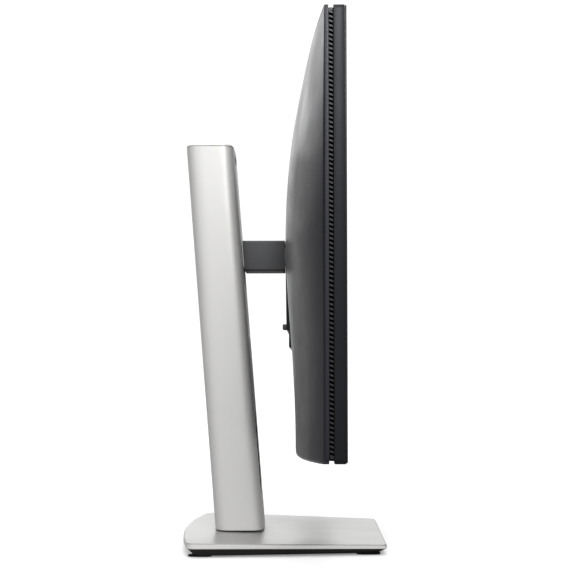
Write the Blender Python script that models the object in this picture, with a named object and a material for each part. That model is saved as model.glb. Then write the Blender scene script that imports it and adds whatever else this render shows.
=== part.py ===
"""Desktop computer monitor on a height-adjustable stand, as separate pieces.

Frame: metres, +Z up. The screen faces -Y, +X is the right hand of the person who looks at it,
and the desk is z = 0. Depths in the display are measured back from its front plane.
"""

import math

import bmesh
import bpy
import numpy as np
from mathutils import Matrix, Vector

GAP = 0.0003  # between pieces that touch
LOOSE = 0.0005  # between pieces that slide or turn on each other

# Display
DISPLAY_WIDTH = 0.6110
DISPLAY_BOTTOM = 0.0982
DISPLAY_TOP = 0.4532
FRONT_Y = -0.0546
CORNER_RADIUS = 0.004
INNER_RADIUS = 0.0008
FRAME_DEPTH = 0.0102
VENT_BACK = 0.0141
EDGE_DEPTH = 0.0171
FRAME_WALL = 0.0018
COVER_WALL = 0.0022
VENT_INSET = 0.0026
CHIN_TOP = 0.1101

# Rear cover: how far back its surface lies
CROWN_Z = 0.285
CROWN_DEPTH = 0.0512
FOOT_DEPTH = 0.0423
TOP_LOSS = 0.55
BOSS_HALF_WIDTH = 0.078
BOSS_STEP_Z = 0.207
LEDGE_Z = 0.190
BOSS_DEPTH = 0.0500
LEDGE_DEPTH = 0.0478
STEP_RUN = 0.0008

# Arm, tilt and pivot
ARM_Z = 0.2837
ARM_HALF_HEIGHT = 0.0153
ARM_HALF_WIDTH = 0.018
TILT_Y = FRONT_Y + 0.0512
BARREL_RADIUS = 0.008
SHAFT_RADIUS = 0.004
SPINDLE_RADIUS = 0.006
BAY_HALF = 0.062
BAY_DEPTH = 0.0335
PLATE_HALF = 0.058
PLATE_DEPTH = 0.0342
PLATE_THICK = 0.0022

# Column
LEAN = math.radians(4.63)
SWIVEL_Y = 0.0426
LEAN_START_Z = 0.015
COLUMN_BOTTOM = 0.0142
COLUMN_TOP = 0.391
CAP_TOP = 0.3936
COLUMN_HALF_WIDTH = 0.038
COLUMN_HALF_DEPTH = 0.024
COLUMN_WALL = 0.0025
SLOT_HALF_WIDTH = 0.0165
SLOT_BOTTOM = 0.200
SLOT_TOP = 0.386
PASS_HALF_WIDTH = 0.020
PASS_BOTTOM = 0.041
PASS_TOP = 0.129
CHANNEL_BOTTOM = 0.136
CHANNEL_TOP = 0.384

# Base
BASE_FRONT_HALF = 0.100
BASE_BACK_HALF = 0.1225
BASE_CHORD_Y = 0.0843
BASE_SAGITTA = 0.0123
BASE_FRONT_Z = 0.0099
BASE_SLOPE = 0.02044
PLATE_FRONT_THICK = 0.0041
PLATE_TAPER = 0.00718
FOOT_HEIGHT = 0.0012
TRAY_BOTTOM = 0.0015

# Ports
PORT_BAY_HALF = 0.130
PORT_BAY_BOTTOM = 0.132
PORT_BAY_TOP = 0.186
PORT_BAY_DEPTH = 0.017
PORT_PLATE_Z = 0.1864
BOARD_DEPTH = 0.0195
BOARD_THICK = 0.0016

# Controls on the rear cover
JOYSTICK = (0.262, 0.125)
POWER_KEY = (0.236, 0.125)

ROUND_SIDES = 28
SMALL_SIDES = 16


def column_y(z):
    """The centre of the leaning column at height z."""
    return SWIVEL_Y + math.tan(LEAN) * (z - LEAN_START_Z)


BASE_FRONT_Y = -(column_y(COLUMN_TOP) + COLUMN_HALF_DEPTH)


# ---------------------------------------------------------------- scene and materials


def clear_scene():
    """Remove every object that the file opened with."""
    for item in list(bpy.data.objects):
        bpy.data.objects.remove(item, do_unlink=True)


def finish(name, colour, roughness, metallic=0.0):
    """A Principled material with one colour."""
    made = bpy.data.materials.new(name)
    made.use_nodes = True
    shader = made.node_tree.nodes["Principled BSDF"]
    shader.inputs["Base Color"].default_value = (*colour, 1.0)
    shader.inputs["Roughness"].default_value = roughness
    shader.inputs["Metallic"].default_value = metallic
    return made


def make_finishes():
    """Every material of the object, by a short name."""
    return {
        "shell": finish("dark_grey_plastic", (0.075, 0.078, 0.082), 0.5),
        "trim": finish("black_plastic", (0.02, 0.02, 0.022), 0.45),
        "silver": finish("satin_silver_paint", (0.62, 0.63, 0.64), 0.35, 0.6),
        "glass": finish("screen_glass", (0.012, 0.012, 0.014), 0.3),
        "steel": finish("zinc_plated_steel", (0.55, 0.56, 0.57), 0.35, 0.9),
        "casting": finish("zinc_casting", (0.4, 0.41, 0.42), 0.5, 0.8),
        "acrylic": finish("clear_acrylic", (0.85, 0.88, 0.9), 0.15),
        "sheet": finish("white_film", (0.86, 0.86, 0.86), 0.5),
        "board": finish("green_circuit_board", (0.02, 0.12, 0.06), 0.4),
        "rubber": finish("black_rubber", (0.025, 0.025, 0.025), 0.8),
        "nylon": finish("white_nylon", (0.8, 0.8, 0.78), 0.45),
    }


def joint_empty(name, place, parent=None):
    """An empty on a joint's axis, for the pieces of one body to hang on."""
    made = bpy.data.objects.new(name, None)
    made.empty_display_size = 0.02
    bpy.context.scene.collection.objects.link(made)
    made.location = place
    hang(made, parent)
    return made


def hang(item, parent):
    """Parent an item without moving it in the world."""
    if parent is None:
        return
    bpy.context.view_layer.update()
    item.parent = parent
    item.matrix_parent_inverse = parent.matrix_world.inverted()


# ---------------------------------------------------------------- solids


def add_mesh(name, points, faces, material, body):
    """An object from points and faces, facing outwards, hung on its body's empty."""
    mesh = bpy.data.meshes.new(name)
    mesh.from_pydata([tuple(point) for point in points], [], faces)
    build = bmesh.new()
    build.from_mesh(mesh)
    bmesh.ops.recalc_face_normals(build, faces=build.faces)
    build.to_mesh(mesh)
    build.free()
    mesh.shade_smooth()
    mesh.set_sharp_from_angle(angle=math.radians(35))
    made = bpy.data.objects.new(name, mesh)
    if material is not None:
        mesh.materials.append(material)
    bpy.context.scene.collection.objects.link(made)
    hang(made, body)
    return made


def loft(name, rings, material=None, body=None):
    """A closed solid through rings of equal point counts, with a flat cap on each end."""
    count = len(rings[0])
    points = np.concatenate(rings)
    faces = [list(range(count))[::-1]]
    for level in range(len(rings) - 1):
        low = level * count
        high = low + count
        for index in range(count):
            after = (index + 1) % count
            faces.append([low + index, low + after, high + after, high + index])
    last = (len(rings) - 1) * count
    faces.append(list(range(last, last + count)))
    return add_mesh(name, points, faces, material, body)


def sleeve(name, outer, inner, material=None, body=None):
    """An open tube: the wall between two pairs of rings of equal point counts."""
    count = len(outer[0])
    points = np.concatenate([outer[0], outer[1], inner[1], inner[0]])
    faces = []
    for level in range(4):
        low = level * count
        high = (level + 1) % 4 * count
        for index in range(count):
            after = (index + 1) % count
            faces.append([low + index, low + after, high + after, high + index])
    return add_mesh(name, points, faces, material, body)


def carve(target, tool, operation="DIFFERENCE"):
    """Change a solid with another one, which becomes a hidden helper."""
    change = target.modifiers.new(tool.name, "BOOLEAN")
    change.operation = operation
    change.solver = "EXACT"
    change.object = tool
    tool.hide_render = True
    tool.display_type = "WIRE"
    return target


def soften(target, width, segments=1):
    """Round the edges that turn more than 40 degrees."""
    change = target.modifiers.new("soft_edges", "BEVEL")
    change.width = width
    change.segments = segments
    change.limit_method = "ANGLE"
    change.angle_limit = math.radians(40)
    return target


# ---------------------------------------------------------------- outlines


def rounded_box(half_width, half_height, radius, steps=4):
    """A rectangle with round corners, counter-clockwise about the origin."""
    turn = np.linspace(0.0, math.pi / 2, steps + 1)
    corners = []
    for quarter, (across, up) in enumerate(((1, 1), (-1, 1), (-1, -1), (1, -1))):
        angle = turn + quarter * math.pi / 2
        centre = (across * (half_width - radius), up * (half_height - radius))
        corners.append(np.column_stack([np.cos(angle), np.sin(angle)]) * radius + centre)
    return np.concatenate(corners)


def plain_box(half_width, half_height):
    """A rectangle about the origin."""
    w, h = half_width, half_height
    return np.array([(w, h), (-w, h), (-w, -h), (w, -h)])


def circle(radius, sides=ROUND_SIDES):
    """A circle about the origin."""
    angle = np.linspace(0.0, 2 * math.pi, sides, endpoint=False)
    return np.column_stack([np.cos(angle), np.sin(angle)]) * radius


def column_outline(shrink=0.0, sides=44):
    """The column's section: |x/a|^n + |y/b|^n = 1, squarer at the front than at the back."""
    angle = np.linspace(0.0, 2 * math.pi, sides, endpoint=False)
    power = np.where(np.sin(angle) < 0, 5.5, 4.5)
    across = np.sign(np.cos(angle)) * np.abs(np.cos(angle)) ** (2 / power)
    back = np.sign(np.sin(angle)) * np.abs(np.sin(angle)) ** (2 / power)
    half_width = COLUMN_HALF_WIDTH - shrink
    half_depth = COLUMN_HALF_DEPTH - shrink
    return np.column_stack([across * half_width, back * half_depth])


def rounded_corners(points, radii, steps=4):
    """A polygon whose corners are arcs of the given radii, zero for a sharp one."""
    made = []
    for index, (corner, radius) in enumerate(zip(points, radii)):
        before = (points[index - 1] - corner) / np.linalg.norm(points[index - 1] - corner)
        nxt = points[(index + 1) % len(points)]
        after = (nxt - corner) / np.linalg.norm(nxt - corner)
        if radius == 0:
            made.append(corner)
            continue
        half = math.acos(np.clip(before @ after, -1, 1)) / 2
        middle = (before + after) / np.linalg.norm(before + after)
        centre = corner + middle * radius / math.sin(half)
        first = corner + before * radius / math.tan(half) - centre
        last = corner + after * radius / math.tan(half) - centre
        for share in np.linspace(0, 1, steps + 1):
            ray = first * (1 - share) + last * share
            made.append(centre + ray / np.linalg.norm(ray) * radius)
    return np.array(made)


def base_outline(inset):
    """The base's plan: a straight front, sides that widen to the back, and an arc behind."""
    chord = BASE_BACK_HALF - inset
    radius = (BASE_BACK_HALF**2 + BASE_SAGITTA**2) / (2 * BASE_SAGITTA)
    apex = BASE_CHORD_Y + BASE_SAGITTA - inset
    reach = math.asin(chord / radius)
    angle = np.linspace(reach, -reach, 12)
    arc = np.column_stack([np.sin(angle), np.cos(angle) - 1]) * radius + (0, apex)
    front = BASE_FRONT_Y + inset
    half = BASE_FRONT_HALF - inset
    points = np.concatenate([[(-half, front), (half, front)], arc])
    radii = [0.005, 0.005, 0.008] + [0.0] * (len(arc) - 2) + [0.008]
    return rounded_corners(points, radii)


def flat(outline, z, centre=(0.0, 0.0)):
    """An outline laid level; z is a height or a height for each point."""
    return np.column_stack([outline + centre, np.broadcast_to(z, len(outline))])


def upright(outline, y, centre=(0.0, 0.0)):
    """An outline stood up across the object, in x and z; y is one depth or one for each point."""
    placed = outline + centre
    depth = np.broadcast_to(y, len(outline))
    return np.column_stack([placed[:, 0], depth, placed[:, 1]])


def sideways(outline, x, centre=(0.0, 0.0)):
    """An outline stood up along the object, in y and z."""
    placed = outline + centre
    return np.column_stack([np.broadcast_to(x, len(outline)), placed])


def box(name, low, high, material=None, body=None):
    """A box between two corners."""
    low, high = np.array(low), np.array(high)
    half = (high - low) / 2
    centre = (high + low) / 2
    outline = plain_box(half[0], half[1])
    rings = [flat(outline, z, centre[:2]) for z in (low[2], high[2])]
    return loft(name, rings, material, body)


def display_box(name, half_width, depths, heights, material=None, body=None, x=0.0):
    """A box in the display: depths back from its front plane, heights above the desk."""
    low = (x - half_width, FRONT_Y + depths[0], heights[0])
    high = (x + half_width, FRONT_Y + depths[1], heights[1])
    return box(name, low, high, material, body)


def leaning_box(name, x, y, z, material=None, body=None, middle=0.0):
    """A box that leans with the column: y from the column's centre line, z up the column."""
    half = (x[1] - x[0]) / 2
    outline = plain_box(half, (y[1] - y[0]) / 2)
    centre = (x[0] + half, (y[0] + y[1]) / 2)
    rings = [flat(outline, level + middle, (centre[0], centre[1] + column_y(level + middle))) for level in z]
    return loft(name, rings, material, body)


def rod(name, ends, radius, place, axis, material=None, body=None, sides=ROUND_SIDES):
    """A round bar along X, Y or Z between two ends; place is where its axis crosses."""
    stand = {"X": sideways, "Y": upright, "Z": flat}[axis]
    return loft(name, [stand(circle(radius, sides), end, place) for end in ends], material, body)


def washer(name, ends, radii, place, axis, material=None, body=None, sides=ROUND_SIDES):
    """A ring along X, Y or Z with an inner and an outer radius."""
    stand = {"X": sideways, "Y": upright, "Z": flat}[axis]
    inner = [stand(circle(radii[0], sides), end, place) for end in ends]
    outer = [stand(circle(radii[1], sides), end, place) for end in ends]
    return sleeve(name, outer, inner, material, body)


# ---------------------------------------------------------------- stand: base


def plate_top(y):
    """The height of the sloping base plate's top."""
    return BASE_FRONT_Z + BASE_SLOPE * (y - BASE_FRONT_Y)


def plate_bottom(y):
    """The height of the base plate's underside; the plate is thicker at the back."""
    return plate_top(y) - PLATE_FRONT_THICK - PLATE_TAPER * (y - BASE_FRONT_Y)


def make_base(looks, body):
    """The base: weight, silver plate, feet, and the fixed half of the swivel."""
    swivel = (0.0, SWIVEL_Y)
    outline = base_outline(0.0)
    rings = [flat(outline, plate_bottom(outline[:, 1])), flat(outline, plate_top(outline[:, 1]))]
    plate = soften(loft("base_plate", rings, looks["silver"], body), 0.0008)
    carve(plate, rod("plate_hole", (0.0, 0.03), 0.020, swivel, "Z"))

    low = base_outline(0.0075)
    high = base_outline(0.0012)
    rings = [flat(low, TRAY_BOTTOM), flat(high, plate_bottom(high[:, 1]) - GAP)]
    tray = loft("base_weight", rings, looks["trim"], body)
    carve(tray, rod("tray_hole", (0.0, 0.03), 0.0143, swivel, "Z"))

    for end, across, along in (("front", 0.088, -0.0805), ("rear", 0.104, 0.0742)):
        for side, sign in (("left", -1), ("right", 1)):
            pad = rounded_box(0.006, 0.011, 0.005)
            rings = [flat(pad, z, (sign * across, along)) for z in (0.0, FOOT_HEIGHT)]
            loft(f"foot_{end}_{side}", rings, looks["rubber"], body)

    washer("swivel_race", (0.0079, 0.0149), (0.0130, 0.0197), swivel, "Z", looks["nylon"], body)
    flange = rod("swivel_spindle", (0.0034, 0.0064), 0.0136, swivel, "Z", looks["steel"], body)
    carve(flange, rod("spindle_shaft", (0.0050, 0.0360), 0.0120, swivel, "Z"), "UNION")
    carve(flange, rod("spindle_bore", (0.0020, 0.0160), 0.0034, swivel, "Z"))
    head = rod("base_screw", (0.0016, 0.0031), 0.0090, swivel, "Z", looks["steel"], body)
    carve(head, rod("screw_shank", (0.0025, 0.0140), 0.0030, swivel, "Z"), "UNION")
    washer("swivel_nut", (0.0254, 0.0330), (0.0124, 0.0185), swivel, "Z", looks["steel"], body, 24)


# ---------------------------------------------------------------- stand: column


def column_ring(z, shrink=0.0):
    """The column's outline at height z."""
    return flat(column_outline(shrink), z, (0.0, column_y(z)))


def make_column(looks, body):
    """The leaning column: shell, cap, foot casting, cable passage and the lift's fixed half."""
    ends = (COLUMN_BOTTOM, COLUMN_TOP)
    shell = sleeve(
        "column_shell",
        [column_ring(z) for z in ends],
        [column_ring(z, COLUMN_WALL) for z in ends],
        looks["silver"],
        body,
    )
    slot = rounded_box(SLOT_HALF_WIDTH, (SLOT_TOP - SLOT_BOTTOM) / 2, 0.006, 3)
    centre = (0.0, (SLOT_TOP + SLOT_BOTTOM) / 2)
    slot_y = column_y(centre[1])
    carve(shell, loft("arm_slot", [upright(slot, slot_y + step, centre) for step in (-0.05, -0.009)]))
    centre = (0.0, (PASS_TOP + PASS_BOTTOM) / 2)
    through = rounded_box(PASS_HALF_WIDTH, (PASS_TOP - PASS_BOTTOM) / 2, 0.0199, 6)
    carve(shell, loft("cable_cut", [upright(through, y, centre) for y in (0.0, 0.1)]))

    cap = loft("column_cap", [column_ring(z) for z in (COLUMN_TOP + GAP, CAP_TOP)], looks["silver"], body)
    soften(cap, 0.0018, 2)

    rings = [column_ring(z, COLUMN_WALL + 0.0004) for z in (0.0153, 0.0250)]
    foot = loft("column_foot", rings, looks["casting"], body)
    carve(foot, rod("foot_bore", (0.0, 0.05), 0.0124, (0.0, SWIVEL_Y), "Z"))

    def liner_rings(half_width, height):
        outline = rounded_box(half_width, height, half_width - 0.0001, 6)
        lean_y = np.array([column_y(z) for z in outline[:, 1] + centre[1]])
        return [upright(outline, lean_y + step, centre) for step in (-0.0232, 0.0215)]

    half_height = (PASS_TOP - PASS_BOTTOM) / 2
    outer = liner_rings(PASS_HALF_WIDTH - 0.0004, half_height - 0.0004)
    inner = liner_rings(PASS_HALF_WIDTH - 0.0021, half_height - 0.0021)
    sleeve("cable_liner", outer, inner, looks["trim"], body)

    web, lip, wall, reach, front = 0.024, 0.0166, 0.002, 0.022, -0.012
    channel = np.array(
        [(web, lip), (-web, lip), (-web, front), (-reach, front)]
        + [(-reach, lip - wall), (reach, lip - wall), (reach, front), (web, front)]
    )
    rings = [flat(channel, z, (0.0, column_y(z))) for z in (CHANNEL_BOTTOM, CHANNEL_TOP)]
    loft("guide_channel", rings, looks["steel"], body)
    leaning_box("spring_anchor", (-0.020, 0.020), (-0.004, 0.012), (0.3845, 0.3885), looks["steel"], body)


# ---------------------------------------------------------------- stand: carriage and arm


def make_carriage(looks, body):
    """What slides up and down: carriage, glides, balance spring, and the arm."""
    coil_z = ARM_Z - 0.055
    coil = (column_y(coil_z), coil_z)
    block = leaning_box(
        "lift_carriage", (-0.0202, 0.0202), (-0.011, 0.008), (-0.022, 0.014), looks["casting"], body, ARM_Z
    )
    for side, x in (("left", (-0.0202, -0.0172)), ("right", (0.0172, 0.0202))):
        ear = leaning_box(f"carriage_ear_{side}", x, (-0.008, 0.0075), (-0.075, -0.020), middle=ARM_Z)
        carve(block, ear, "UNION")
    carve(block, rod("axle_hole", (-0.03, 0.03), 0.0028, coil, "X", sides=SMALL_SIDES))
    for side, x in (("left", (-0.0217, -0.0205)), ("right", (0.0205, 0.0217))):
        leaning_box(f"glide_{side}", x, (-0.009, 0.007), (-0.070, 0.012), looks["nylon"], body, ARM_Z)
    rod("spring_axle", (-0.0202, 0.0202), 0.0025, coil, "X", looks["steel"], body, SMALL_SIDES)
    washer("spring_drum", (-0.0090, 0.0090), (0.0028, 0.0063), coil, "X", looks["nylon"], body)
    washer("spring_coil", (-0.0080, 0.0080), (0.0066, 0.0105), coil, "X", looks["steel"], body)
    leaning_box(
        "spring_strip", (-0.0075, 0.0075), (0.0109, 0.0115), (coil_z, CHANNEL_TOP), looks["steel"], body
    )
    make_arm(looks, body)


def make_arm(looks, body):
    """The steel arm with the tilt barrel on its end, and the plastic cover round it."""
    back = column_y(ARM_Z) - 0.011 - GAP
    neck_start = TILT_Y + 0.012
    lean_shift = math.tan(LEAN) * 0.011
    outline = plain_box(0.014, 0.011)
    ends = [upright(outline, neck_start, (0.0, ARM_Z)), upright(outline, back, (0.0, ARM_Z))]
    ends[1][:, 1] += np.sign(outline[:, 1]) * lean_shift
    core = loft("arm_core", ends, looks["casting"], body)
    tongue = box(
        "arm_tongue",
        (-0.009, TILT_Y, ARM_Z - BARREL_RADIUS + 0.0001),
        (0.009, neck_start + 0.004, ARM_Z + BARREL_RADIUS - 0.0001),
    )
    carve(core, tongue, "UNION")
    hinge = (TILT_Y, ARM_Z)
    carve(core, rod("arm_barrel", (-0.00905, 0.00905), BARREL_RADIUS, hinge, "X"), "UNION")
    carve(core, rod("arm_bore", (-0.02, 0.02), SHAFT_RADIUS + GAP, hinge, "X"))

    front = TILT_Y + 0.0014
    gap = 0.001

    def cover_rings(half_width, half_height, radius):
        outline = rounded_box(half_width, half_height, radius, 3)
        placed = [column_y(z) - COLUMN_HALF_DEPTH - gap for z in outline[:, 1] + ARM_Z]
        return [upright(outline, y, (0.0, ARM_Z)) for y in (front, np.array(placed))]

    outer = cover_rings(ARM_HALF_WIDTH, ARM_HALF_HEIGHT, 0.0022)
    inner = cover_rings(ARM_HALF_WIDTH - 0.002, ARM_HALF_HEIGHT - 0.002, 0.001)
    sleeve("arm_cover", outer, inner, looks["shell"], body)


def make_tilt_head(looks, body):
    """What tilts on the arm: yoke with its pivot spindle, shaft, friction washers and nuts."""
    hinge = (TILT_Y, ARM_Z)
    base_back = TILT_Y - 0.010
    yoke = box(
        "tilt_yoke", (-0.020, base_back - 0.003, ARM_Z - 0.012), (0.020, base_back, ARM_Z + 0.012), looks["steel"], body
    )
    for side, x in (("left", (-0.0126, -0.0096)), ("right", (0.0096, 0.0126))):
        cheek = box(
            f"cheek_{side}", (x[0], base_back - 0.001, ARM_Z - 0.0079), (x[1], TILT_Y, ARM_Z + 0.0079)
        )
        carve(yoke, cheek, "UNION")
        shift = 0.00005
        carve(yoke, rod(f"eye_{side}", (x[0] - shift, x[1] + shift), 0.008, hinge, "X"), "UNION")
    axis = (0.0, ARM_Z)
    tip = FRONT_Y + 0.0312
    carve(yoke, rod("spindle", (tip, base_back - 0.002), SPINDLE_RADIUS, axis, "Y"), "UNION")
    carve(yoke, rod("eye_bore", (-0.02, 0.02), SHAFT_RADIUS + GAP, hinge, "X"))

    shaft = rod("tilt_shaft", (-0.0140, 0.0157), SHAFT_RADIUS, hinge, "X", looks["steel"], body)
    carve(shaft, rod("shaft_head", (-0.0154, -0.0130), 0.0065, hinge, "X"), "UNION")
    washer("tilt_washers", (0.0130, 0.0138), (0.0043, 0.0072), hinge, "X", looks["steel"], body)
    washer("tilt_nut", (0.0141, 0.0156), (0.0043, 0.0070), hinge, "X", looks["steel"], body, 24)

    washer_back = base_back - 0.003 - GAP
    plate_back = FRONT_Y + PLATE_DEPTH + PLATE_THICK
    washer("pivot_washer", (plate_back + GAP, washer_back), (0.0063, 0.016), axis, "Y", looks["nylon"], body)
    nut_ends = (FRONT_Y + 0.0312, FRONT_Y + PLATE_DEPTH - GAP)
    washer("pivot_nut", nut_ends, (0.0063, 0.0095), axis, "Y", looks["steel"], body, 24)


# ---------------------------------------------------------------- display: housing


def cover_depth(x, z):
    """How far behind the front plane the rear cover's surface lies.

    A crown CROWN_DEPTH deep runs across the middle. It falls off upwards with a power of the
    height and downwards with a smooth ramp, and sinks to EDGE_DEPTH at the sides with a power of
    the half width. A raised boss round the mount bay ends below in two steps.
    """
    up = np.clip((z - CROWN_Z) / (DISPLAY_TOP - CROWN_Z), 0, 1)
    down = np.clip((CROWN_Z - z) / (CROWN_Z - DISPLAY_BOTTOM), 0, 1)
    rise = (CROWN_DEPTH - EDGE_DEPTH) * (1 - TOP_LOSS * up**2.3)
    rise = rise - (CROWN_DEPTH - FOOT_DEPTH) * (1 - (1 - down**1.5) ** 2)
    power = 4.0 - 2.0 * up
    side = np.clip(np.abs(x) / (DISPLAY_WIDTH / 2), 0, 1)
    depth = EDGE_DEPTH + rise * (1 - side**power)
    climb = np.clip((z - BOSS_STEP_Z) / (CROWN_Z - BOSS_STEP_Z), 0, 1) ** 0.7
    boss = BOSS_DEPTH + (CROWN_DEPTH - BOSS_DEPTH) * climb
    boss = np.where(z < BOSS_STEP_Z, LEDGE_DEPTH, boss)
    inside = (np.abs(x) <= BOSS_HALF_WIDTH) & (z > LEDGE_Z) & (z < CROWN_Z)
    return np.where(inside, np.maximum(depth, boss), depth)


def cover_block(name, inset, skin, front, material=None, body=None):
    """The space under the rear cover's surface, set in at its sides and down from its skin."""
    half = DISPLAY_WIDTH / 2 - inset
    inner = np.array([0.0, 0.026, 0.052, BOSS_HALF_WIDTH])
    outer = np.concatenate([[0.0795, 0.115, 0.155, 0.190, 0.220, 0.245, 0.266, 0.283, 0.296], [half]])
    across = np.concatenate([inner, outer])
    x = np.concatenate([-across[:0:-1], across])
    steps = [LEDGE_Z, LEDGE_Z + STEP_RUN, BOSS_STEP_Z - STEP_RUN, BOSS_STEP_Z]
    lower = np.linspace(DISPLAY_BOTTOM + inset, LEDGE_Z - 0.015, 4)
    upper = np.linspace(BOSS_STEP_Z + 0.026, DISPLAY_TOP - inset, 11)
    z = np.concatenate([lower, steps, upper])
    grid_x, grid_z = np.meshgrid(x, z)
    depth = cover_depth(grid_x, grid_z) - skin
    back = np.column_stack([grid_x.ravel(), FRONT_Y + depth.ravel(), grid_z.ravel()])
    columns, rows = len(x), len(z)
    index = np.arange(columns * rows).reshape(rows, columns)
    rim = np.concatenate([index[0, :-1], index[:-1, -1], index[-1, :0:-1], index[:0:-1, 0]])
    flat_rim = back[rim].copy()
    flat_rim[:, 1] = FRONT_Y + front
    points = np.concatenate([back, flat_rim])
    quads = np.stack([index[:-1, :-1], index[:-1, 1:], index[1:, 1:], index[1:, :-1]], axis=-1)
    faces = quads.reshape(-1, 4).tolist()
    first = columns * rows
    for step in range(len(rim)):
        after = (step + 1) % len(rim)
        faces.append([int(rim[step]), int(rim[after]), first + after, first + step])
    faces.append(list(range(first, first + len(rim))))
    return add_mesh(name, points, faces, material, body)


def bay_cut(cover, name, half_width, heights, depth, limit):
    """Sink a walled bay into the rear cover."""
    wall = COVER_WALL
    block = display_box(
        f"{name}_walls", half_width + wall, (depth - wall, 0.08), (heights[0] - wall, heights[1] + wall)
    )
    carve(block, limit, "INTERSECT")
    carve(cover, block, "UNION")
    carve(cover, display_box(f"{name}_space", half_width, (depth, 0.09), heights))


def make_rear_cover(looks, body):
    """The rear cover with its mount bay, port bay and the holes for the controls."""
    cover = cover_block("rear_cover", 0.0, 0.0, VENT_BACK, looks["shell"], body)
    centre_z = (DISPLAY_TOP + DISPLAY_BOTTOM) / 2
    outline = rounded_box(DISPLAY_WIDTH / 2, (DISPLAY_TOP - DISPLAY_BOTTOM) / 2, CORNER_RADIUS, 3)
    prism = [upright(outline, FRONT_Y + depth, (0.0, centre_z)) for depth in (0.005, 0.09)]
    carve(cover, loft("cover_corners", prism), "INTERSECT")
    carve(cover, cover_block("cover_hollow", COVER_WALL, COVER_WALL, VENT_BACK - 0.004))
    limit = cover_block("cover_middle", 0.0011, 0.0011, 0.010)
    bay_cut(cover, "mount_bay", BAY_HALF, (ARM_Z - BAY_HALF, ARM_Z + BAY_HALF), BAY_DEPTH, limit)
    bay_cut(cover, "port_bay", PORT_BAY_HALF, (PORT_BAY_BOTTOM, PORT_BAY_TOP), PORT_BAY_DEPTH, limit)
    carve(cover, display_box("port_window", 0.122, (0.0185, 0.0410), (0.182, 0.190)))
    floor = (FRONT_Y + 0.025, FRONT_Y + 0.035)
    carve(cover, rod("nut_hole", floor, 0.012, (0.0, ARM_Z), "Y"))
    carve(cover, display_box("latch_window", 0.013, (0.0358, 0.0400), (0.2185, 0.2225)))
    carve(cover, display_box("release_hole", 0.0094, (0.040, 0.07), (0.2095, 0.2159)))
    through = (FRONT_Y + 0.020, FRONT_Y + 0.060)
    carve(cover, rod("joystick_hole", through, 0.0065, JOYSTICK, "Y"))
    carve(cover, rod("power_key_hole", through, 0.0050, POWER_KEY, "Y"))


def picture_frame(name, inset, wall, depths, radius, material, body):
    """A four-sided ring that follows the display's outline."""
    centre_z = (DISPLAY_TOP + DISPLAY_BOTTOM) / 2
    half_w = DISPLAY_WIDTH / 2 - inset
    half_h = (DISPLAY_TOP - DISPLAY_BOTTOM) / 2 - inset
    ends = [FRONT_Y + depth for depth in depths]
    outer = [upright(rounded_box(half_w, half_h, radius, 3), y, (0.0, centre_z)) for y in ends]
    inner_outline = rounded_box(half_w - wall, half_h - wall, INNER_RADIUS, 3)
    inner = [upright(inner_outline, y, (0.0, centre_z)) for y in ends]
    return sleeve(name, outer, inner, material, body)


def make_housing(looks, body):
    """Front frame, bottom bezel, vent ring and rear cover."""
    picture_frame("front_frame", 0.0, FRAME_WALL, (0.0, FRAME_DEPTH), CORNER_RADIUS, looks["trim"], body)
    depths = (FRAME_DEPTH - 0.0015, VENT_BACK + GAP)
    picture_frame("vent_frame", VENT_INSET, 0.0016, depths, 0.003, looks["trim"], body)
    half = DISPLAY_WIDTH / 2 - FRAME_WALL - 0.0004
    heights = (DISPLAY_BOTTOM + FRAME_WALL + 0.0004, CHIN_TOP)
    display_box("bottom_bezel", half, (0.0, 0.0083), heights, looks["trim"], body)
    make_rear_cover(looks, body)


# ---------------------------------------------------------------- display: inside


def make_panel(looks, body):
    """The screen's stack, front to back, and the metal tray behind it."""
    half = DISPLAY_WIDTH / 2 - FRAME_WALL - 0.0004
    top = DISPLAY_TOP - FRAME_WALL - 0.0004
    display_box("lcd_panel", half, (0.0006, 0.0020), (CHIN_TOP + 0.0004, top), looks["glass"], body)
    display_box("optical_films", 0.300, (0.0024, 0.0030), (0.112, 0.449), looks["sheet"], body)
    display_box("light_guide", 0.300, (0.0034, 0.0062), (0.118, 0.449), looks["acrylic"], body)
    display_box("led_bar", 0.298, (0.0034, 0.0062), (0.112, 0.117), looks["sheet"], body)
    display_box("reflector_sheet", 0.300, (0.0065, 0.0069), (0.112, 0.449), looks["sheet"], body)
    display_box("panel_tray", half, (0.0073, 0.0083), (0.111, top), looks["steel"], body)
    display_box("board_tray", 0.170, (0.0125, 0.0137), (0.145, 0.345), looks["steel"], body)


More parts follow.
